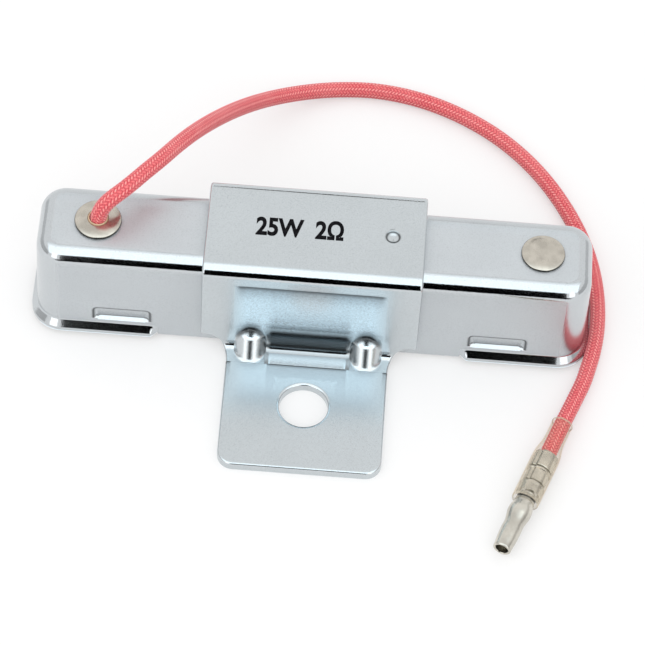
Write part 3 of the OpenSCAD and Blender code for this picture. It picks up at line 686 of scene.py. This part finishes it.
# painted shade and dark reflection on the strap
strapShade = {  # how dark, then place and width
    "stepDark": 0.85, "stepShade": (0, 0.32), "stepTail": 0.4, "stepTailRun": 2.4, "stepGap": (0.2, 0.4),
    "bandSide": (1.4, 1.6), "bendDark": 0.65, "bendFade": (9.6, 3.3), "bendPower": 1.3,
    "bandHeights": (2.3, 2.7, 3.4, 5.4), "bandShares": (0, 0.9, 0.45, 0.8),
    "stripDark": 0.45, "stripAhead": 0.9, "stripWide": 0.7, "stripTop": 2.2,
    "panelDark": 0.75, "panelLine": (0.2, 0.25), "panelTail": 0.55, "panelTailLine": (0, 3),
    "panelSide": 1.2, "ringPlace": 0.85, "ringWide": 0.2,
    "haloDark": 0.85, "haloGap": 0.15, "haloLine": (0, 1.1), "haloFoot": (4, 1.5), "haloEnd": (0.6, 0.5),
    "darkest": 0.95, "crestWear": (0, 0.3),
    "polish": 0.6, "polishTop": (7.8, 1.5), "polishFoot": (4.4, 1.2),
}


def strapRows(b):
    # outer-face points (y, z), normals and, in the foot bend, the distance past the notch line
    t, out, r = b["thick"], b["halfDepth"], b["bendRadius"]
    ax, top, f = b["axisY"], b["top"], b["footBend"]
    front, bendY, bendZ = ax - out, ax - out - f, t + f
    easeIn = lambda n, d: d * (1 - np.cos(np.linspace(0, np.pi / 2, n)))
    edge, far = np.array(b["edgeRows"]), b["far"]
    rows = []

    def add(*columns):
        columns = (np.atleast_1d(v).astype(float) for v in columns)
        rows.append(np.stack(np.broadcast_arrays(*columns), -1))

    back = np.linspace(b["backRowsFrom"], top - r, 10)
    low = np.unique(np.concatenate([easeIn(9, b["backCorner"]), edge, back]))
    add(ax + out, low, 1, 0, -far)
    a = np.radians(np.linspace(0, 90, 15)[1:])
    add(ax + out - r + r * np.cos(a), top - r + r * np.sin(a), np.cos(a), np.sin(a), -far)
    band, flank = b["stakeBand"], b["stakeBand"] + b["rowGap"]
    flat = np.concatenate([
        np.linspace(ax + out - r, ax + flank, 9)[1:], np.linspace(ax + band, ax - band, 33),
        np.linspace(ax - flank, ax - out + r, 9)])
    add(flat, top, 0, 1, -far)
    a = a + np.pi / 2
    add(ax - out + r + r * np.cos(a), top - r + r * np.sin(a), np.cos(a), np.sin(a), -far)
    low = np.linspace(b["lowRowsFrom"], bendZ, 20)
    down = np.concatenate([np.linspace(*run) for run in b["frontRows"]] + [low])
    add(front, down, -1, 0, -far)
    cut = b["notch"]
    fold = lambda c: math.pi / 4 + np.arcsin(np.clip((1 + c * math.sqrt(2) / f) / math.sqrt(2), -1, 1))
    above = np.linspace(-f * math.sqrt(2), -cut - 0.02, 6)[1:]
    c = np.concatenate([above, -cut * np.cos(np.linspace(0, np.pi / 2, 42))[:-1], [-0.05, 0]])
    psi = fold(c)
    add(bendY + f * np.cos(psi), bendZ - f * np.sin(psi), -np.cos(psi), np.sin(psi), c)
    p, end = b["patch"], b["frontEdge"]
    y = np.unique(np.concatenate([
        bendY - np.array([0.1, 0.2, 0.3]), np.linspace(bendY, p, 9)[1:-1], np.linspace(p, -p, 17),
        np.linspace(-p, end + b["tipRowsFrom"], 11)[1:],
        end + easeIn(14, b["footCorner"]), end + edge]))[::-1]
    add(y, t, 0, 1, far)
    return np.concatenate(rows)


def rollDrop(distance, roll):
    # how far a rolled edge falls away: a quarter circle within the roll's width of the outline
    d = np.clip(1 - distance / roll, 0, 1)
    return roll * (1 - np.sqrt(1 - d * d))


def holeRings(b):
    # rings from the square patch to the hole's rolled rim, down the bore and out to the square again below
    t, p, hole, roll = b["thick"], b["patch"], b["holeRadius"], b["holeRoll"]
    s = np.linspace(-p, p, 17)
    square = np.concatenate([np.stack([s, 0 * s - p], -1)[:-1], np.stack([0 * s + p, s], -1)[:-1],
                             np.stack([-s, 0 * s + p], -1)[:-1], np.stack([0 * s - p, -s], -1)[:-1]])
    circle = square / np.linalg.norm(square, axis=1)[:, None]
    a = np.linspace(0, np.pi / 2, 9)
    share = np.concatenate([np.linspace(1, 0, 7), np.zeros(len(a)), [0, 0], np.linspace(0, 1, 5)])
    radius = np.concatenate([np.full(7, hole + roll), hole + roll * (1 - np.sin(a)), np.full(7, hole)])
    height = np.concatenate([np.full(7, t), t - 0.8 * roll * (1 - np.cos(a)), [t / 2, 0.1], np.zeros(5)])
    flat = share[:, None, None] * square + (1 - share)[:, None, None] * radius[:, None, None] * circle
    rings = np.concatenate([flat, np.broadcast_to(height[:, None, None], (*flat.shape[:2], 1))], -1)
    return rings, gridQuads(*rings.shape[:2], wrapCols=True)


def makeBracket(b, s):
    rows = strapRows(b)
    y, z, ny, nz, past = (rows[:, k][:, None] for k in range(5))
    t, w0, w1, cut = b["thick"], b["width"] / 2, b["footWidth"] / 2, b["notch"]
    p, far = b["patch"], b["far"]
    half = np.concatenate([np.linspace(0, p, 9)] + [np.arange(*run) for run in b["columns"]]
                          + [np.linspace(*b["sideColumns"]), w0 - np.array(b["edgeColumns"])])
    x0 = np.concatenate([-half[:0:-1], half])[None, :]

    # half width of the blank: full strap, round notch, foot, then the rounded ends
    notchX = w1 + cut
    inBend, onFoot = np.abs(past) < far, past >= far
    inNotch = (past > -cut - 0.001) & (past < far)
    width = np.where(inNotch, notchX - np.sqrt(np.clip(cut ** 2 - np.minimum(past, 0) ** 2, 0, None)), w0)
    width = np.where(onFoot, w1, width)
    ends = lambda gap, r: r - np.sqrt(np.clip(r * r - np.clip(r - gap, 0, None) ** 2, 0, None))
    onBack, onFront = ny > 0.999, ny < -0.999
    width = width - np.where(onFoot, ends(y - b["frontEdge"], b["footCorner"]), 0)
    width = width - np.where(onBack, ends(z, b["backCorner"]), 0)
    side = np.abs(x0)
    hold = np.minimum(b["keepHalf"], width - b["keepGap"])
    hold = hold * np.where(onFoot & (width < w1 - 0.001), b["keepEnd"], 1)
    x = np.sign(x0) * np.where(side > hold, hold + (side - hold) * (width - hold) / (w0 - hold), side)
    ax = np.abs(x)

    # distance to the blank's outline, for the rolled edge
    edge = width - ax
    nearNotch = (past > -cut - b["notchNear"]) & (past <= 0)
    ring = np.where(ax < notchX, np.hypot(ax - notchX, past) - cut, -cut - past)
    edge = np.where(nearNotch, np.minimum(w0 - ax, np.maximum(ring, 0)), edge)
    footGap = y - b["frontEdge"]
    r = b["footCorner"]
    corner = np.where((ax > w1 - r) & (footGap < r), r - np.hypot(ax - (w1 - r), r - footGap), far)
    edge = np.where(onFoot, np.minimum(np.minimum(edge, footGap), corner), edge)
    edge = np.where(onBack, np.minimum(edge, z), edge)
    edge = np.clip(edge, 0, None)

    # darts: a leaning barrel pushed up through the bend, blended into it
    lean = math.atan2(b["dartRun"], b["dartRise"])
    crest = b["dartRise"] * math.sin(lean)
    front = b["axisY"] - b["halfDepth"]
    outY, outZ = -math.cos(lean), math.sin(lean)
    off = np.abs(ax - b["dartPitch"] / 2)
    facing = ny * outY + nz * outZ

    def dartLift(radius, under, base):
        # height along the sheet's normal to a barrel of that radius, eased into the base where they meet
        arch = np.sqrt(np.clip(radius ** 2 - off ** 2, 0, None))
        barrel = np.where(off < radius, arch, -b["dartFlank"] * (off - radius))
        gap = (y - under * ny - front) * outY + (z - under * nz - t) * outZ
        rise = (crest - b["dartRadius"] + barrel - gap) / np.clip(facing, 0.05, None)
        share = np.clip(0.5 + 0.5 * (rise - base) / b["dartBlend"], 0, 1)
        lifted = base + (rise - base) * share + b["dartBlend"] * share * (1 - share)
        near = (facing > b["dartFacing"]) & (off < radius + b["dartReach"]) & (z < b["dartTop"])
        return np.where(near, lifted, base), np.where(near, rise - base, -far)

    def dieSink(at):
        # depth of the pressed panel at a height: none at the bend, deepest above it, shallow at its top
        heights = [b["dieLow"], b["dieDeepZ"] - 1, b["dieDeepZ"] + 1, b["dieTop"] - 0.25, b["dieTop"]]
        sink = np.interp(at, heights, [0, b["dieDeep"], b["dieDeep"], b["dieDepth"], 0])
        return sink * drop(ax, b["dieHalf"], b["dieSide"])

    # coined bend: distance from the plain arc into the tight corner, to the leg, the fillet or the strip,
    # which falls away from the leg between the darts and ends at a step with a low ridge before it
    f, cr = b["footBend"], b["coinRadius"]
    between = drop(ax, b["rampHalf"], b["rampSide"])
    deep = b["coinDepth"] + b["rampDepth"] * between
    slope = b["rampDepth"] * between / f
    cosine, sine = np.clip(-ny, 1e-6, 1), np.clip(nz, 1e-6, 1)
    leg = f + dieSink(t + f - f * sine / cosine)
    toLeg, toStrip = leg / cosine - f, (f + deep) / (sine + slope * cosine) - f
    midY = f - cr
    midZ = f + deep - slope * midY - cr * np.sqrt(1 + slope ** 2)
    through = midY * cosine + midZ * sine
    toCorner = through + np.sqrt(np.clip(through ** 2 - midY ** 2 - midZ ** 2 + cr ** 2, 0, None)) - f
    underLeg = (f + toLeg) * sine > midZ
    pastStrip = (f + toStrip) * cosine > midY + cr * np.sin(np.arctan(slope))
    sunk = np.where(underLeg & pastStrip, toCorner, np.minimum(toLeg, toStrip))
    coin = np.where(inBend, -np.clip(sunk, 0, None), 0.0)
    ahead = np.clip(front - f - y, 0, None)  # distance in front of the step
    coin = coin + np.where(onFoot, b["ridge"] * between * drop(ahead, b["ridgeRun"], b["ridgeRun"]) ** 2, 0)

    topLift, proud = dartLift(b["dartRadius"], 0, coin)
    underLift, _ = dartLift(b["dartRadius"] - t, t, 0 * coin)
    away = np.hypot(x - b["stakeX"], y - b["axisY"])
    onTop = (nz > 0.999) & (past <= -far)
    burr = b["burr"] * bell(away - b["stakeRadius"], *b["burrLine"])
    stake = (b["stakeDepth"] * np.clip(1 - (away / b["stakeRadius"]) ** 2, 0, None) - burr) * onTop
    die = np.where(onFront, dieSink(z), 0)
    up = topLift - rollDrop(edge, b["edgeRoll"]) - stake - die
    place = lambda n: np.stack([x + 0 * y, y + n * ny + 0 * x, z + n * nz + 0 * x], -1)
    topFace, underFace = place(up), place(underLift - t)

    # the square round the hole is left out of the two faces and filled by the hole's own rings
    flatRows, flatCols = (onFoot & (np.abs(y) < p + 0.01))[:, 0], np.abs(x0[0]) < p + 0.01
    keep = ~((flatRows[:-1] & flatRows[1:])[:, None] & (flatCols[:-1] & flatCols[1:])[None, :]).ravel()
    quads = gridQuads(*topFace.shape[:2])
    grids = [(topFace, quads[keep]), (underFace, quads[keep])]
    for line in (0, -1):
        grids.append((np.stack([topFace[:, line], underFace[:, line]]), gridQuads(2, len(rows))))
        grids.append((np.stack([topFace[line], underFace[line]]), gridQuads(2, x0.shape[1])))
    grids.append(holeRings(b))

    # painted shade: dark lines at the coined step, under the pressed panel's top, in the stake mark and
    # over the darts, and painted shade and dark reflection in the band between the darts, which is polished
    high, below = topFace[..., 2], b["dieTop"] - z
    wide = drop(ax, b["rampHalf"] + s["bandSide"][0], s["bandSide"][1])
    clear = climb(off - b["dartRadius"], *s["stepGap"])
    stepTail = s["stepTail"] * np.exp(-ahead / s["stepTailRun"])
    stepShade = s["stepDark"] * bell(ahead, *s["stepShade"]) + stepTail
    lowerLeg = onFront + inBend * np.interp(high, s["bandHeights"], s["bandShares"])
    bendShade = s["bendDark"] * drop(high, *s["bendFade"]) ** s["bendPower"] * wide * lowerLeg
    stripShade = s["stripDark"] * bell(topFace[..., 1], front - s["stripAhead"], s["stripWide"])
    stripShade = stripShade * wide * inBend * (high < s["stripTop"])
    panelShade = s["panelDark"] * bell(below, *s["panelLine"])
    panelShade = panelShade + s["panelTail"] * bell(below, *s["panelTailLine"]) * (below > 0)
    panelShade = panelShade * drop(ax, b["dieHalf"], s["panelSide"]) * onFront
    stakeShade = bell(away, s["ringPlace"] * b["stakeRadius"], s["ringWide"]) * onTop
    dartShade = s["haloDark"] * bell(np.clip(-s["haloGap"] - proud, 0, None), *s["haloLine"])
    dartShade = dartShade * climb(z, *s["haloFoot"]) * drop(proud, *s["haloEnd"])
    paintedShade = stepShade * clear * onFoot + panelShade + stakeShade + np.maximum(dartShade, bendShade) + stripShade
    polished = s["polish"] * drop(z, *s["polishTop"]) * climb(high, *s["polishFoot"])
    polished = polished * wide * (onFront | inBend)
    wear = climb(topLift - coin, *s["crestWear"]) - polished
    # the pressed panel, which the finish paints paler and bluer as a painted reflection
    pressed = drop(ax, b["dieHalf"], b["dieSide"]) * onFront * (below > 0)
    points, quads = joinGrids(*grids)
    shades = {"paintedShade": np.clip(paintedShade, 0, s["darkest"]), "wear": wear, "press": pressed}
    marks = {key: np.pad(value.ravel(), (0, len(points) - value.size)) for key, value in shades.items()}
    return makePiece("strap_bracket", points, quads, zincStrap, "zinc_strap", ("bracket",),
                     sharp=42, values=marks)


makeBracket(bracket, strapShade)
print("bracket made")


# eyelet, bushing and rivet on the housing's top

heads = {
    "eyeletX": -39.8, "rivetX": 41.5, "axisY": 22.7, "seat": 23.2, "around": 120, "crownSteps": 36,
    "eyeletRadius": 4.3, "eyeletBore": 2.15, "eyeletLip": 1.85, "eyeletHeight": 1.0, "lipRound": 0.15,
    "boreTop": 0.5, "tailRadius": 2.65, "tailDepth": 1.3,
    "bushOuter": 2.1, "bushInner": 1.56, "bushTop": 1.15, "bushDepth": 2.2, "bushRound": 0.12,
    # painted shade on the bush below its rim
    "bushShoulder": 0.4, "bushAround": 96, "bushShade": (0.05, 0.15),  # dark below the rim: place and run
    "crownLean": 24, "edgeLean": 70, "edgeRadius": 0.4,  # degrees, millimetres
    "footIn": 0.05, "sideIn": 0.02, "sideShare": 0.6,  # the side leans out a little from its foot
    # painted shade on the heads' sides
    "sideShade": (48, 12),  # degrees of lean where the side starts to darken, and their run
    "rivetRadius": 4.0, "rivetHeight": 0.9, "dimpleDepth": 0.1, "dimpleRadius": 1.7,
}


def domeLine(h, radius, height, start):
    # outer line of a button from its foot inwards: upright side, round edge, then a crown whose slope grows
    # with the fourth power of the radius; the second result is painted shade, dark on the side and fading
    # over the edge
    lean, steep, edge = math.radians(h["crownLean"]), math.radians(h["edgeLean"]), h["edgeRadius"]
    tilt = np.linspace(steep, lean, 14)
    shoulder = radius - edge * (math.sin(steep) - math.sin(lean))
    r = np.linspace(shoulder, start, h["crownSteps"])[1:]
    fall = lambda at: math.tan(lean) * at ** 5 / (5 * shoulder ** 4)
    side = height - fall(shoulder) - edge * (math.cos(lean) - math.cos(steep))
    bend = np.stack([radius - edge * (math.sin(steep) - np.sin(tilt)),
                     side + edge * (np.cos(tilt) - math.cos(steep))], -1)
    crown = np.stack([r, height - fall(r)], -1)
    dark = np.concatenate([[1, 1], climb(np.degrees(tilt), *h["sideShade"]), np.zeros(len(r))])
    foot = [[radius - h["footIn"], 0], [radius - h["sideIn"], side * h["sideShare"]]]
    return np.concatenate([foot, bend, crown]), dark


def makeHeads(h):
    eye, riv = (h["eyeletX"], h["axisY"], h["seat"]), (h["rivetX"], h["axisY"], h["seat"])

    def turned(name, line, dark, centre, steps, *rest):
        makePiece(name, *revolve(line, steps, centre), *rest, sharp=45,
                  values={"paintedShade": np.repeat(dark[:, None], steps, 1)})

    lip, inner, tail = h["lipRound"], h["eyeletBore"], h["tailRadius"]
    line, dark = domeLine(h, h["eyeletRadius"], h["eyeletHeight"], h["eyeletLip"] + lip)
    bore = np.concatenate([
        arc(h["eyeletLip"] + lip, line[-1, 1] - lip, lip, 90, 180, 6),
        [[inner, h["boreTop"]], [inner, -h["tailDepth"]], [tail, -h["tailDepth"]], [tail, 0]]])
    turned("lead_eyelet_head", np.concatenate([line, bore]), np.pad(dark, (0, len(bore))), eye, h["around"],
           nickelPlate, "nickel_plate", ("lead_eyelet",))
    o, i, top, edge = h["bushOuter"], h["bushInner"], h["bushTop"], h["bushRound"]
    tube = np.concatenate([
        [[o, -h["bushDepth"]], [o, h["bushShoulder"]]], arc(i + edge, top - edge, edge, 0, 180, 12),
        [[i, -h["bushDepth"]]]])
    # painted shade below the bush's rim
    low = drop(tube[:, 1], top - h["bushShade"][0], h["bushShade"][1])
    turned("lead_bush", tube, low, eye, h["bushAround"], tanFibre, "tan_fibre", ("lead_bushing",))
    cap, dark = domeLine(h, h["rivetRadius"], h["rivetHeight"], 0.0)
    cap[:, 1] -= h["dimpleDepth"] * bell(cap[:, 0], 0, h["dimpleRadius"])
    turned("ground_rivet_head", np.concatenate([cap, [[0, 0]]]), np.append(dark, 0), riv, h["around"],
           nickelPlate, "nickel_plate", ("ground_rivet",))


makeHeads(heads)
print("eyelet, bush and rivet made")


# bullet terminal and its clear sleeve, on the lead's end

terminal = {
    "rim": (47.6, -0.25, 2.6), "heading": 249.75, "around": 96,
    "sleeve": [  # distance from the rim, radius
        (0, 2.0), (0.15, 2.04), (0.6, 1.95), (4, 1.98), (5.4, 2.12), (7.0, 2.47), (8.2, 2.58), (10, 2.6),
        (18.2, 2.6), (18.4, 2.52)],
    "sleeveThick": 0.22, "sleeveStep": 0.15, "rimHaze": 0.45, "rimRun": (0.42, 0.3),
    "bullet": [
        (7.8, 1.62), (7.8, 2.15), (7.9, 2.24), (8.2, 2.28), (11.2, 2.3), (11.3, 2.25), (11.4, 2.0),
        (11.6, 2.0), (11.7, 2.3), (11.85, 2.34), (12.0, 2.3), (12.1, 2.14), (14.5, 2.14), (14.6, 1.95),
        (14.8, 1.95), (14.9, 2.31), (15.2, 2.34), (15.4, 2.28), (17.0, 2.28), (17.2, 1.85), (18.3, 1.7),
        (18.45, 1.86), (19.4, 1.95), (20.0, 2.1), (20.5, 2.19), (21, 2.21), (21.6, 2.18), (22.4, 2.03),
        (23.2, 1.86), (23.7, 1.82), (24.2, 1.83), (24.8, 1.88), (26.5, 1.86), (27.6, 1.8), (28.4, 1.72),
        (28.9, 1.68), (29.2, 1.69), (29.4, 1.66), (29.5, 1.55), (29.5, 1.3), (29.4, 1.2), (27.5, 1.12),
        (27.5, 0.0)],
    # painted shade: the bore is darker, and the gaps below are dark rings
    "bulletStep": 0.25, "boreRadius": 1.25, "boreDark": 0.2,
    "gaps": [(11.5, 0.14, 0.5), (14.7, 0.14, 0.5), (18.0, 0.4, 1.0)],  # place, half width, darkness
    "seamFrom": 7.0, "seamTo": 15.0, "seamRuns": (0.25, 0.5), "seamDepth": 0.35, "seamAbove": 1.7,
    "seamTurn": 118, "seamWidth": 11,  # degrees
}


def alongHeading(c, s, radius, turn):
    # points round the terminal's axis at the given distances from the sleeve's rim
    a = math.radians(c["heading"])
    ahead, left = np.array([math.cos(a), math.sin(a), 0]), np.array([-math.sin(a), math.cos(a), 0])
    up = np.array([0, 0, 1.0])
    return (np.array(c["rim"]) + s[..., None] * ahead
            + radius[..., None] * (np.cos(turn)[..., None] * left + np.sin(turn)[..., None] * up))


def fineLine(line, step):
    # a profile with points added along it, its corners kept
    p = np.array(line, float)
    count = lambda a, b: max(int(np.hypot(*(b - a)) / step), 1)
    parts = [np.linspace(a, b, count(a, b), endpoint=False) for a, b in zip(p[:-1], p[1:])]
    return np.vstack([*parts, p[-1:]])


def makeTerminal(c):
    turn = np.linspace(0, 2 * np.pi, c["around"], endpoint=False)[None, :]
    s, r = fineLine(c["bullet"], c["bulletStep"]).T
    s, r = s[:, None] + 0 * turn, r[:, None] + 0 * turn
    inSeam = climb(s, c["seamFrom"], c["seamRuns"][0]) * drop(s, c["seamTo"], c["seamRuns"][1])
    inSeam = inSeam * (r > c["seamAbove"])
    away = np.degrees(np.abs((turn - math.radians(c["seamTurn"]) + np.pi) % (2 * np.pi) - np.pi))
    r = r - c["seamDepth"] * inSeam * np.clip(1 - (away / c["seamWidth"]) ** 2, 0, None)
    body = alongHeading(c, s, r, turn + 0 * s)
    # painted shade: dark rings in the gaps and a darker bore
    paintedShade = sum(dark * np.exp(-((s - at) / half) ** 4) for at, half, dark in c["gaps"])
    paintedShade = np.maximum(paintedShade, c["boreDark"] * (r < c["boreRadius"]))
    makePiece("bullet_terminal", body, gridQuads(*body.shape[:2], wrapCols=True), tinPlate,
              "tinned_brass", ("terminal_bullet",), sharp=40, values={"paintedShade": paintedShade})
    s, r = fineLine(c["sleeve"], c["sleeveStep"]).T
    s = np.concatenate([s, s[::-1]])[:, None] + 0 * turn
    r = np.concatenate([r, r[::-1] - c["sleeveThick"]])[:, None] + 0 * turn
    tube = alongHeading(c, s, r, turn + 0 * s)
    rim = c["rimHaze"] * drop(np.minimum(s, s.max() - s), *c["rimRun"])
    makePiece("clear_sleeve", tube, gridQuads(*tube.shape[:2], wrapRows=True, wrapCols=True), clearSleeve,
              "clear_sleeve", ("terminal_sleeve",), sharp=50, values={"rim": rim})


makeTerminal(terminal)
print("terminal made")


# printed rating on the strap

rating = {
    "words": "25W  2Ω", "left": -11.0, "right": 5.0, "front": 20.9, "back": 25.3,
    "lift": 0.015, "boldness": 0.034,
}


def makeRating(c):
    # flat letters made a mesh, then fitted to the printed place on the strap's top
    curve = bpy.data.curves.new("ratingText", "FONT")
    curve.body = c["words"]
    curve.offset = c["boldness"]
    holder = addObject("ratingText", curve)
    bpy.context.view_layer.update()
    mesh = bpy.data.meshes.new_from_object(holder.evaluated_get(bpy.context.evaluated_depsgraph_get()))
    bpy.data.objects.remove(holder)
    flat = np.empty(len(mesh.vertices) * 3, np.float32)
    mesh.vertices.foreach_get("co", flat)
    p = flat.reshape(-1, 3)[:, :2]
    share = (p - p.min(0)) / np.ptp(p, axis=0)
    low, high = np.array([c["left"], c["front"]]), np.array([c["right"], c["back"]])
    placed = np.column_stack([low + share * (high - low), np.full(len(p), bracket["top"] + c["lift"])])
    mesh.vertices.foreach_set("co", (placed * mm).astype(np.float32).ravel())
    mesh.update()
    mesh.materials.clear()
    mesh.materials.append(blackInk)
    piece = addObject("printed_rating", mesh)
    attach(piece, "root")


makeRating(rating)
print("rating made")


# nodes that keep their CAD shape get their finish

innerFinishes = {
    "ceramic_core": ceramicWhite, "resistance_wire": oxideWire, "lead_band": brassStrip,
    "ground_band": brassStrip, "lead_conductor": copperEnd, "cement_fill": cementGrey,
}
for node, finish in innerFinishes.items():
    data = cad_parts[node].data
    data.materials.clear()
    data.materials.append(finish)

print("inner finishes and cord set")


# floor, lamps, and the cards and flags that only reflections see

studio = {
    "floorHalf": 3000, "floorTone": 0.56, "floorGlow": 0.42, "world": 0.99, "lampAim": (0, 15, 10),
    "lamps": {  # azimuth and elevation from the front, distance, size, watts
        "frontSoft": (-8, 52, 460, (500, 300), 0.35),
        "leftSoft": (-62, 42, 460, (300, 260), 0.1),
    },
    "cards": {  # four corners in turn; colour; strength at the front and at the back
        "farFlag": ([(-104, -470, 0), (106, -470, 0), (106, -470, 300), (-104, -470, 300)],
                    (0, 0, 0), (0, 0)),
        "tableEdge": ([(-88, -470, 0.3), (92, -470, 0.3), (92, -60, 0.3), (-88, -60, 0.3)],
                      (0, 0, 0), (0, 0)),
        "backGap": ([(-46, 600, 345), (42, 600, 345), (42, 600, 470), (-46, 600, 470)],
                    (0, 0, 0), (0, 0)),
        "frontSky": ([(-700, -470, 300), (700, -470, 300), (700, -90, 640), (-700, -90, 640)],
                     (0.94, 1.02, 1.06), (1.75, 1.7)),
        "overSky": ([(-700, -90, 640), (700, -90, 640), (700, 150, 640), (-700, 150, 640)],
                    (0.97, 1.01, 1.03), (1.7, 0.99)),
        "leftStrip": ([(-330, -330, 8), (-170, -400, 8), (-170, -400, 300), (-330, -330, 300)],
                      (1, 1, 1), (1.9, 1.9)),
        "rightStrip": ([(170, -400, 8), (330, -330, 8), (330, -330, 300), (170, -400, 300)],
                       (1, 1, 1), (1.9, 1.9)),
        "leftFlag": ([(-430, -260, 2), (-430, 420, 2), (-430, 420, 190), (-430, -260, 190)],
                     (1, 1, 1), (0.55, 0.75)),
        "rightFlag": ([(430, -260, 2), (430, 420, 2), (430, 420, 190), (430, -260, 190)],
                      (1, 1, 1), (0.55, 0.75)),
    },
}


def flatSheet(name, corners, material):
    mesh = bpy.data.meshes.new(name)
    mesh.from_pydata([tuple(np.array(c) * mm) for c in corners], [], [(0, 1, 2, 3)])
    mesh.materials.append(material)
    sheet = addObject(name, mesh)
    return sheet


def makeFloor(c):
    # diffuse floor, with a little glow for camera, glossy and transmission rays so that it comes out white
    m, tree, shader = newMaterial("paleFloor", Roughness=1.0)
    shader.inputs["Base Color"].default_value = (c["floorTone"],) * 3 + (1,)
    shader.inputs["Specular IOR Level"].default_value = 0.0
    ray = addNode(tree, "ShaderNodeLightPath").outputs
    seen = maths(tree, "MAXIMUM", ray["Is Camera Ray"], ray["Is Glossy Ray"])
    seen = maths(tree, "MAXIMUM", seen, ray["Is Transmission Ray"])
    shader.inputs["Emission Color"].default_value = (1, 1, 1, 1)
    tree.links.new(maths(tree, "MULTIPLY", seen, c["floorGlow"]), shader.inputs["Emission Strength"])
    e = c["floorHalf"]
    flatSheet("paleFloor", [(-e, -e, 0), (e, -e, 0), (e, e, 0), (-e, e, 0)], m)


def makeLamps(c):
    for name, (azimuth, elevation, distance, size, watts) in c["lamps"].items():
        data = bpy.data.lights.new(name, "AREA")
        data.shape, data.size, data.size_y, data.energy = "RECTANGLE", size[0] * mm, size[1] * mm, watts
        right, up, back = lookAxes(azimuth, elevation)
        lamp = addObject(name, data)
        aimObject(lamp, right, up, back, np.array(c["lampAim"]) + distance * back)
        lamp.visible_glossy = False


def makeCards(c):
    # glowing or black sheets whose strength goes evenly from their front edge to their back edge
    for name, (corners, colour, (near, far)) in c["cards"].items():
        m, tree, shader = newMaterial(name, Roughness=1.0)
        shader.inputs["Base Color"].default_value = (0, 0, 0, 1)
        shader.inputs["Specular IOR Level"].default_value = 0.0
        shader.inputs["Emission Color"].default_value = (*colour, 1)
        depth = addNode(tree, "ShaderNodeSeparateXYZ", [(0, coords(tree))]).outputs[1]
        front, back = (f(p[1] for p in corners) * mm for f in (min, max))
        glow = spread(tree, depth, near, far, front, back + mm)
        tree.links.new(glow, shader.inputs["Emission Strength"])
        card = flatSheet(name, corners, m)
        card.visible_camera = card.visible_diffuse = card.visible_shadow = card.visible_transmission = False


def makeWorld(c):
    world = bpy.data.worlds.new("studio")
    world.use_nodes = True
    sky = world.node_tree.nodes["Background"]
    sky.inputs["Color"].default_value = (1, 1, 1, 1)
    sky.inputs["Strength"].default_value = c["world"]
    bpy.context.scene.world = world


makeFloor(studio)
makeLamps(studio)
makeCards(studio)
makeWorld(studio)
bpy.context.scene.view_settings.view_transform = "Standard"
print("studio set")
